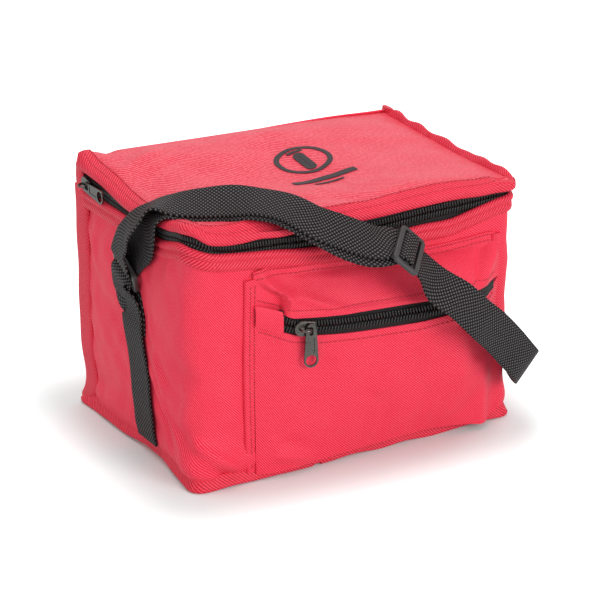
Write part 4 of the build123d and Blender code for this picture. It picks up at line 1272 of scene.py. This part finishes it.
def make_pocket_zip():
    """Both tapes and coils of the pocket's zip, and the cloth tab over its closed end."""
    x = spaced(-56.4, 98.6, 1.5)
    reach = half_tape(x) + 0.7
    places = [(p, o, upwards) for p, o in zip(*along_pocket_zip(x, 0.0, 0.0))]
    for name, sign in (("lower", -1), ("upper", 1)):

        def section(index):
            low, high = sorted((sign * 0.07 * reach[index], sign * reach[index]))
            return flat_profile(low, high, -1.2, -0.35)
        piece = tape(f"pocket_{name}_zip_tape", places, section, black_tape)
        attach(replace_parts(piece, f"pocket_zip_tape_{name}"), "bag")
    x = spaced(-54.5, 91.0, 1.5)
    for name, sign in (("lower", -1), ("upper", 1)):
        gap = row_half + 1.0 * ease(-x, 47, 56) - 0.9 * ease(x, 80, 91)
        seam = along_pocket_zip(x, sign * gap, 1.2)
        coil = along_seams(f"pocket_{name}_zip_coil", [seam], tooth, tooth_pitch, black_coil,
                           slant=sign * turn_slant, unevenness=0.02)
        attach(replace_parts(coil, f"pocket_zip_coil_{name}"), "bag")
    gx, gv = np.meshgrid(np.linspace(-71.5, -55.6, 14), np.linspace(-1, 1, 12))
    up = 6.8 + 1.1 * (gx + 71.5) / 16
    gz = pocket_zip_z(gx) + gv * up - 0.2
    out = pocket_zip_out(gx) + 2.9 - 1.0 * np.abs(gv)**3
    tab = skin("pocket_zip_end_tab", pocket_surface(gx, gz, out), red_twill, thick=1.4)
    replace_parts(tab, "pocket_end_tab")
    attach(tab, "bag")


# ------------------------------------------------------------------ shoulder strap


def strap_curve(stations, step=1.5):
    """Smooth line through stations: centres, directions across and out of the webbing's face."""
    centres, sides = (np.array(column, float) for column in zip(*stations))
    sides /= np.linalg.norm(sides, axis=1)[:, None]
    run = np.concatenate([[0.0], np.cumsum(np.linalg.norm(np.diff(centres, axis=0), axis=1))])
    at = spaced(0, run[-1], step)
    centre, side = (np.stack([smooth(list(zip(run, column)))(at) for column in values.T], -1)
                    for values in (centres, sides))
    along = np.gradient(centre, axis=0)
    along /= np.linalg.norm(along, axis=1)[:, None]
    side -= along * (side * along).sum(1)[:, None]
    side /= np.linalg.norm(side, axis=1)[:, None]
    return centre, side, np.cross(along, side)


def web_profile(crown):
    """Section of webbing: rounded edges, face slightly crowned."""
    half, edge = strap_width / 2, strap_thick / 5
    top, low = ([(t * (half - 0.35), sign * strap_thick / 2 + crown * (1 - t * t))
                 for t in np.linspace(-sign, sign, 11)] for sign in (1, -1))
    return top + [(half, edge), (half, -edge)] + low + [(-half, -edge), (-half, edge)]


def web(name, curve, crown=0.15):
    """Flat webbing along a curve from strap_curve."""
    return tape(name, list(zip(*curve)), web_profile(crown), black_webbing_with_painted_highlights, sharp=80)


# the adjuster's middle, and its directions along the strap, across it and out of its face
adjuster_centre = sum(corners("strap_adjuster")) / 2
adjuster_along = np.array([0.663, -0.325, -0.676])
adjuster_along /= np.linalg.norm(adjuster_along)
adjuster_across = np.array([0.631, 0.725, 0.272])
adjuster_across -= adjuster_along * adjuster_along.dot(adjuster_across)
adjuster_across /= np.linalg.norm(adjuster_across)
adjuster_out = np.cross(adjuster_along, adjuster_across)
adjuster_thick = 2.6


def by_adjuster(along, out):
    """Station beside the adjuster: along the strap, and out of its face."""
    return adjuster_centre + adjuster_along * along + adjuster_out * out, adjuster_across


# the side loops: the middle of the bar that the strap turns round, the seat of the bar that the
# side webbing holds, and the loop's lean in degrees
left_bar, left_seat = np.array([-117.83, -0.94, 125.09]), np.array([-114.7, 4.0, 114.5])
right_bar, right_seat = np.array([120.75, 0.42, 104.65]), np.array([114.7, 4.0, 114.5])
left_lean, right_lean = 25, -20


def loop_axes(lean):
    """Direction along a loop's bars, and the direction from its seat to its other bar."""
    lean = radians(lean)
    return np.array([0.0, cos(lean), sin(lean)]), np.array([0.0, -sin(lean), cos(lean)])


def round_bar(bar, bar_along, first, second, angles, radius):
    """Stations on a turn round a bar: first and second directions span the turn."""
    return [(bar + radius * (np.array(first) * cos(radians(angle)) + second * sin(radians(angle))),
             bar_along) for angle in angles]


# stations along the strap: the webbing's middle, and the direction across it
over_lid = [
    ((-110.7, -30.5, 170.5), (0.68, 0.73, -0.07)),
    ((-102.0, -37.4, 170.8), (0.55, 0.82, 0.18)),
    ((-87.0, -45.7, 171.8), (0.40, 0.84, 0.37)),
    ((-72.4, -53.8, 172.9), (0.45, 0.78, 0.44)),
    ((-58.7, -63.5, 172.7), (0.62, 0.73, 0.29)),
    ((-45.9, -73.0, 169.8), (0.67, 0.68, 0.31)),
    ((-31.2, -85.5, 161.0), (0.63, 0.64, 0.42)),
    ((-20.3, -90.0, 156.0), (0.62, 0.63, 0.46)),
    ((-9.0, -94.0, 150.8), (0.62, 0.64, 0.45)),
    ((-0.1, -96.5, 147.3), (0.63, 0.66, 0.40)),
    by_adjuster(-9.5, -2.6),
]
right_run = [
    by_adjuster(14.5, -2.3),
    ((36.2, -110.4, 116.8), (0.74, 0.43, 0.52)),
    ((48.5, -114.8, 106.8), (0.85, 0.28, 0.45)),
    ((62.8, -115.6, 92.2), (0.90, 0.25, 0.34)),
    ((77.4, -112.0, 78.5), (0.88, 0.17, 0.44)),
    ((92.0, -107.6, 62.9), (0.88, 0.10, 0.47)),
    ((107.4, -102.0, 45.6), (0.80, 0.15, 0.58)),
    ((114.6, -91.0, 38.8), (0.62, 0.0, 0.78)),
    ((117.5, -75.0, 39.0), (0.25, -0.55, 0.80)),
    ((119.0, -52.0, 52.0), (0.05, -0.75, 0.66)),
    ((120.5, -28.0, 77.0), (0.0, -0.72, 0.69)),
    ((124.2, -9.0, 96.0), (0.0, -0.85, 0.52)),
]


def make_strap():
    """One length of webbing: right loop, adjuster, over the lid, round the left loop and back."""
    # round a 3.4 mm bar with 0.7 mm to spare
    radius = 3.4 / 2 + 0.7 + strap_thick / 2
    along_left, rise_left = loop_axes(left_lean)
    along_right, rise_right = loop_axes(right_lean)
    outer_strand = [
        ((-116.5, -24.7, 163.0), (0.66, 0.72, 0.20)),
        ((-120.5, -17.5, 155.0), (0.56, 0.69, 0.45)),
        ((-121.3, -10.5, 146.0), (0.37, 0.73, 0.57)),
        ((-122.0, -4.0, 137.0), (0.25, 0.80, 0.52)),
    ]
    left_turn = round_bar(left_bar, along_left, (-1, 0, 0), -rise_left, (0, 60, 120, 180), radius)
    inner_strand = [
        ((-114.6, -12.0, 135.0), (0.08, 0.72, 0.66)),
        ((-115.0, -24.7, 145.6), (0.10, 0.79, 0.61)),
        ((-115.3, -30.0, 154.7), (0.21, 0.91, 0.36)),
        ((-113.0, -33.2, 164.4), (0.39, 0.91, 0.09)),
        ((-106.5, -36.8, 168.3), (0.48, 0.87, 0.07)),
    ]
    right_turn = round_bar(right_bar, -along_right, (1, 0, 0), rise_right, (20, 80, 140, 190),
                           radius)
    right_end = [((117.6, -14.0, 90.0), (0.0, -0.80, 0.60)),
                 ((117.4, -25.0, 76.0), (0.0, -0.72, 0.69))]
    first = left_turn[::-1] + outer_strand[::-1] + over_lid + right_run + right_turn + right_end
    strap_line = strap_curve(first)
    strap = web("shoulder_strap_webbing", strap_line)

    # the second layer lies under the first and shows along its front edge
    centre, side, face = strap_curve(over_lid)
    upward = np.sign((face * np.array([0.0, -0.3, 1.0])).sum(1))[:, None]
    share = np.linspace(0, 1, len(centre))
    # it shows more where it hangs free before the adjuster
    forward = 2.2 + 3.0 * np.sin(pi * np.clip((share - 0.68) / 0.32, 0, 1))
    under = centre - face * upward * 2.0 - side * forward[:, None]
    picked = np.linspace(10, len(under) - 1, 10).astype(int)
    under_line = strap_curve(left_turn[-1:] + inner_strand + list(zip(under[picked], side[picked])))
    under_strap = web("strap_under_layer", under_line)
    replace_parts(strap, "shoulder_strap", "strap_leg_left", "strap_leg_right")
    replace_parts(under_strap, "strap_return_layer")
    for piece, (line, *_) in ((strap, strap_line), (under_strap, under_line)):
        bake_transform(piece)
        from_left = np.linalg.norm(line - left_bar, axis=1)
        from_right = np.linalg.norm(line - right_bar, axis=1)
        lifted = ease(from_left, 8, 85) * ease(from_right, 12, 110)
        weights = np.repeat(lifted, len(web_profile(0.0)))

    over = adjuster_thick / 2 + 1.1
    arch = [by_adjuster(*place) for place in (
        (-8.2, -2.6), (-5.6, -1.2), (-3.0, over - 0.3), (0.0, over + 0.25), (3.0, over - 0.3),
        (5.6, -1.2), (8.2, -2.6))]
    arch_web = web("adjuster_webbing_arch", strap_curve(arch, 0.8), crown=0.0)
    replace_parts(arch_web, "adjuster_webbing")
    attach(arch_web, "strap_adjuster")


def make_side_webbing():
    """The webbing that holds each loop: up the side panel, over the loop's bar, sewn to itself."""
    for side, name, lean, seat in ((-1, "left", left_lean, left_seat),
                                   (1, "right", right_lean, right_seat)):
        along, rise = loop_axes(lean)
        outwards = np.array([side, 0.0, 0.0])

        def on_wall(y, z, lift):
            s = at_left(y) if side < 0 else at_right(y)
            return wall_point(np.array(s), np.array(float(z)), np.array(lift))[0]
        # the short end lies under the long one, which comes down the panel to the base seam
        stations = [
            (on_wall(-6.4, 80, 1.2), (0.0, 0.97, 0.22)),
            (on_wall(-2.8, 96, 1.3), along),
            (seat - rise * 9 - outwards * 1.6, along),
        ]
        stations += round_bar(seat, along, -outwards, rise, (0, 60, 120, 180), radius=3.0)
        stations += [
            (seat - rise * 9 + outwards * 2.1, along),
            (on_wall(webbing_route(94), 94, 3.1), along),
        ]
        stations += [(on_wall(webbing_route(z), z, 1.7 + 1.2 * ease(z, 66, 80)),
                      (0.0, 1.0, 0.25 * ease(z, 24, 90))) for z in range(82, 6, -9)]
        holder = web(f"side_webbing_{name}", strap_curve(stations, 1.2))
        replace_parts(holder, f"strap_anchor_{name}")
        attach(holder, "bag")


# ------------------------------------------------------------------ stitches


def make_stitches():
    """Lockstitch rows, one piece on the body and one on the lid."""
    s = spaced(11, wall_length - 11, 3.0)
    body_seams = [wall_point(s, rim_top(s) - 6.9, 1.95)]
    for x in (-73.6, -70.6, 98.0):
        z = spaced(10, 126, 4.0)
        line = np.stack([np.full_like(z, x) - 1.1 * np.sin(pi * (z - 6) / 125) * (x < 0),
                         np.full_like(z, front - 2.25), z], -1)
        body_seams.append((line, forwards))
    x = spaced(-68.0, 92.0, 2.0)
    for side, surface in ((-1, pocket_lower_out), (1, pocket_upper_out)):
        z = pocket_zip_z(x) + side * (half_tape(x) + 2.9)
        body_seams.append((pocket_surface(x, z, surface(x, z) + 0.2), forwards))
    x = spaced(-72.0, 99.0, 2.0)
    for drop in (1.6, 5.2):
        z = pocket_top(x) - drop
        body_seams.append((pocket_surface(x, z, pocket_upper_out(x, z) + 0.2), forwards))
    for side in (-1, 1):
        z = spaced(24, rim - 10, 4.0)
        line = np.stack([np.full_like(z, side * (half_width + 1.1)),
                         np.full_like(z, rear - 6.4), z], -1)
        body_seams.append((line, (side * 1.0, -0.3, 0.0)))
    body = along_seams("body_stitches", body_seams, stitch, stitch_pitch, red_thread_with_painted_shade)
    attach(body, "bag")

    lid_seams = []
    s = spaced(3, at_front(98), 3.0)
    for inwards in (1.9, 6.9):
        place = outline(s, inwards)[0]
        lid_seams.append((lid_point(place[:, 0], place[:, 1], 1.35), upwards))
    lid = along_seams("lid_stitches", lid_seams, stitch, stitch_pitch, red_thread_with_painted_shade)
    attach(lid, "lid")


# ------------------------------------------------------------------ stage


def finish_packed_nodes():
    """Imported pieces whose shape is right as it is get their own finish."""
    for material, names in (
        (dark_nickel, ("main_slider", "main_pull_tab", "main_zip_stop_left", "main_zip_stop_right",
                       "pocket_slider", "pocket_pull_tab")),
        (grey_plastic, ("strap_ring_left", "strap_ring_right", "strap_adjuster")),
    ):
        for name in names:
            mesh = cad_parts[name].data
            mesh.materials.clear()
            mesh.materials.append(material)


def make_stage():
    """Pale floor that glows white to the eye away from the bag and keeps most of the bag's shadow;
    the glow fades towards the bag as painted shade.
    """
    material, tree, shader = finish("matt white floor", Roughness=0.9)
    # the floor's blue-green tint cancels the red light that the bag throws on it
    shader.inputs["Base Color"].default_value = linear("#e5efee")
    shader.inputs["Specular IOR Level"].default_value = 0.1
    path = node(tree, "ShaderNodeLightPath")
    glow = node(tree, "ShaderNodeEmission", {"Color": (1, 1, 1, 1)})
    # distance from the bag's footprint: the glow is weak beside it, so the floor's own shade is
    # kept there and painted shade rings the bag; the footprint is drawn short on the right, where
    # painted light covers the bag's shadow
    place = node(tree, "ShaderNodeTexCoord").outputs["Object"]
    shifted = vector_step(tree, "ADD", place, (0.0125, 0.0, 0.0)).outputs["Vector"]
    reach = vector_step(tree, "ABSOLUTE", shifted).outputs["Vector"]
    beyond = vector_step(tree, "SUBTRACT", reach, (0.0975, 0.076, 0.0)).outputs["Vector"]
    clear = vector_step(tree, "MAXIMUM", beyond, (0.0, 0.0, 0.0)).outputs["Vector"]
    distance = vector_step(tree, "LENGTH", clear)
    level = node(tree, "ShaderNodeMapRange", {"Value": distance.outputs["Value"], "From Min": 0.008,
                                              "From Max": 0.085, "To Min": 0.02, "To Max": 0.7},
                 interpolation_type="SMOOTHSTEP")
    amount = node(tree, "ShaderNodeMath", {0: path.outputs["Is Camera Ray"],
                                           1: level.outputs["Result"]}, operation="MULTIPLY")
    tree.links.new(amount.outputs[0], glow.inputs["Strength"])
    both = node(tree, "ShaderNodeAddShader", {0: shader.outputs[0], 1: glow.outputs[0]})
    tree.links.new(both.outputs[0], tree.nodes["Material Output"].inputs["Surface"])
    mesh = bpy.data.meshes.new("floor")
    size = 6.0
    mesh.from_pydata([(-size, -size, 0), (size, -size, 0), (size, size, 0), (-size, size, 0)], [],
                     [(0, 1, 2, 3)])
    mesh.materials.append(material)
    floor = bpy.data.objects.new("floor", mesh)
    bpy.context.scene.collection.objects.link(floor)

    world = bpy.data.worlds.new("studio")
    bpy.context.scene.world = world
    world.use_nodes = True
    tree = world.node_tree
    path = node(tree, "ShaderNodeLightPath")
    background = tree.nodes["Background"]
    background.inputs["Color"].default_value = (1, 1, 1, 1)
    strength = node(tree, "ShaderNodeMapRange", {"Value": path.outputs["Is Camera Ray"],
                                                 "To Min": 0.5, "To Max": 1.0})
    tree.links.new(strength.outputs["Result"], background.inputs["Strength"])

    for name, place, target, size, power in (
        ("overhead softbox", (-0.1, 0.2, 1.5), (0, 0, 0.1), 1.1, 10.4),
        ("front softbox", (0.5, -1.9, 0.8), (0, 0, 0.06), 1.0, 22.0),
        ("left softbox", (-1.8, -0.5, 0.5), (0, 0, 0.08), 1.2, 6.0),
        ("rear softbox", (0.95, 1.35, 0.85), (0, 0, 0.12), 1.3, 4.5),
    ):
        light = bpy.data.lights.new(name, "AREA")
        light.shape = "SQUARE"
        light.size = size
        light.energy = power
        lamp = bpy.data.objects.new(name, light)
        lamp.location = place
        lamp.rotation_euler = (Vector(place) - Vector(target)).to_track_quat("Z", "Y").to_euler()
        bpy.context.scene.collection.objects.link(lamp)


def set_camera():
    """Camera at the photograph's angle: 2600 px focal length on a 608 px frame."""
    azimuth, elevation, distance = radians(-29.65), radians(23.08), 1.66643
    target = Vector((0.01786, 0.01964, 0.06079))
    back = Vector((sin(azimuth) * cos(elevation), -cos(azimuth) * cos(elevation), sin(elevation)))
    data = bpy.data.cameras.new("camera")
    data.sensor_width = 36.0
    data.lens = 2600 * data.sensor_width / 608
    data.clip_end = 20.0
    camera = bpy.data.objects.new("camera", data)
    camera.location = target + back * distance
    camera.rotation_euler = back.to_track_quat("Z", "Y").to_euler()
    bpy.context.scene.collection.objects.link(camera)
    bpy.context.scene.camera = camera


set_camera()
make_walls()
make_base_and_lining()
make_bindings()
make_main_zip()
make_lid()
make_lid_band()
make_lid_print()
make_pocket()
make_pocket_zip()
make_strap()
make_side_webbing()
make_stitches()
finish_packed_nodes()
make_stage()
bpy.context.scene.view_settings.view_transform = "Standard"
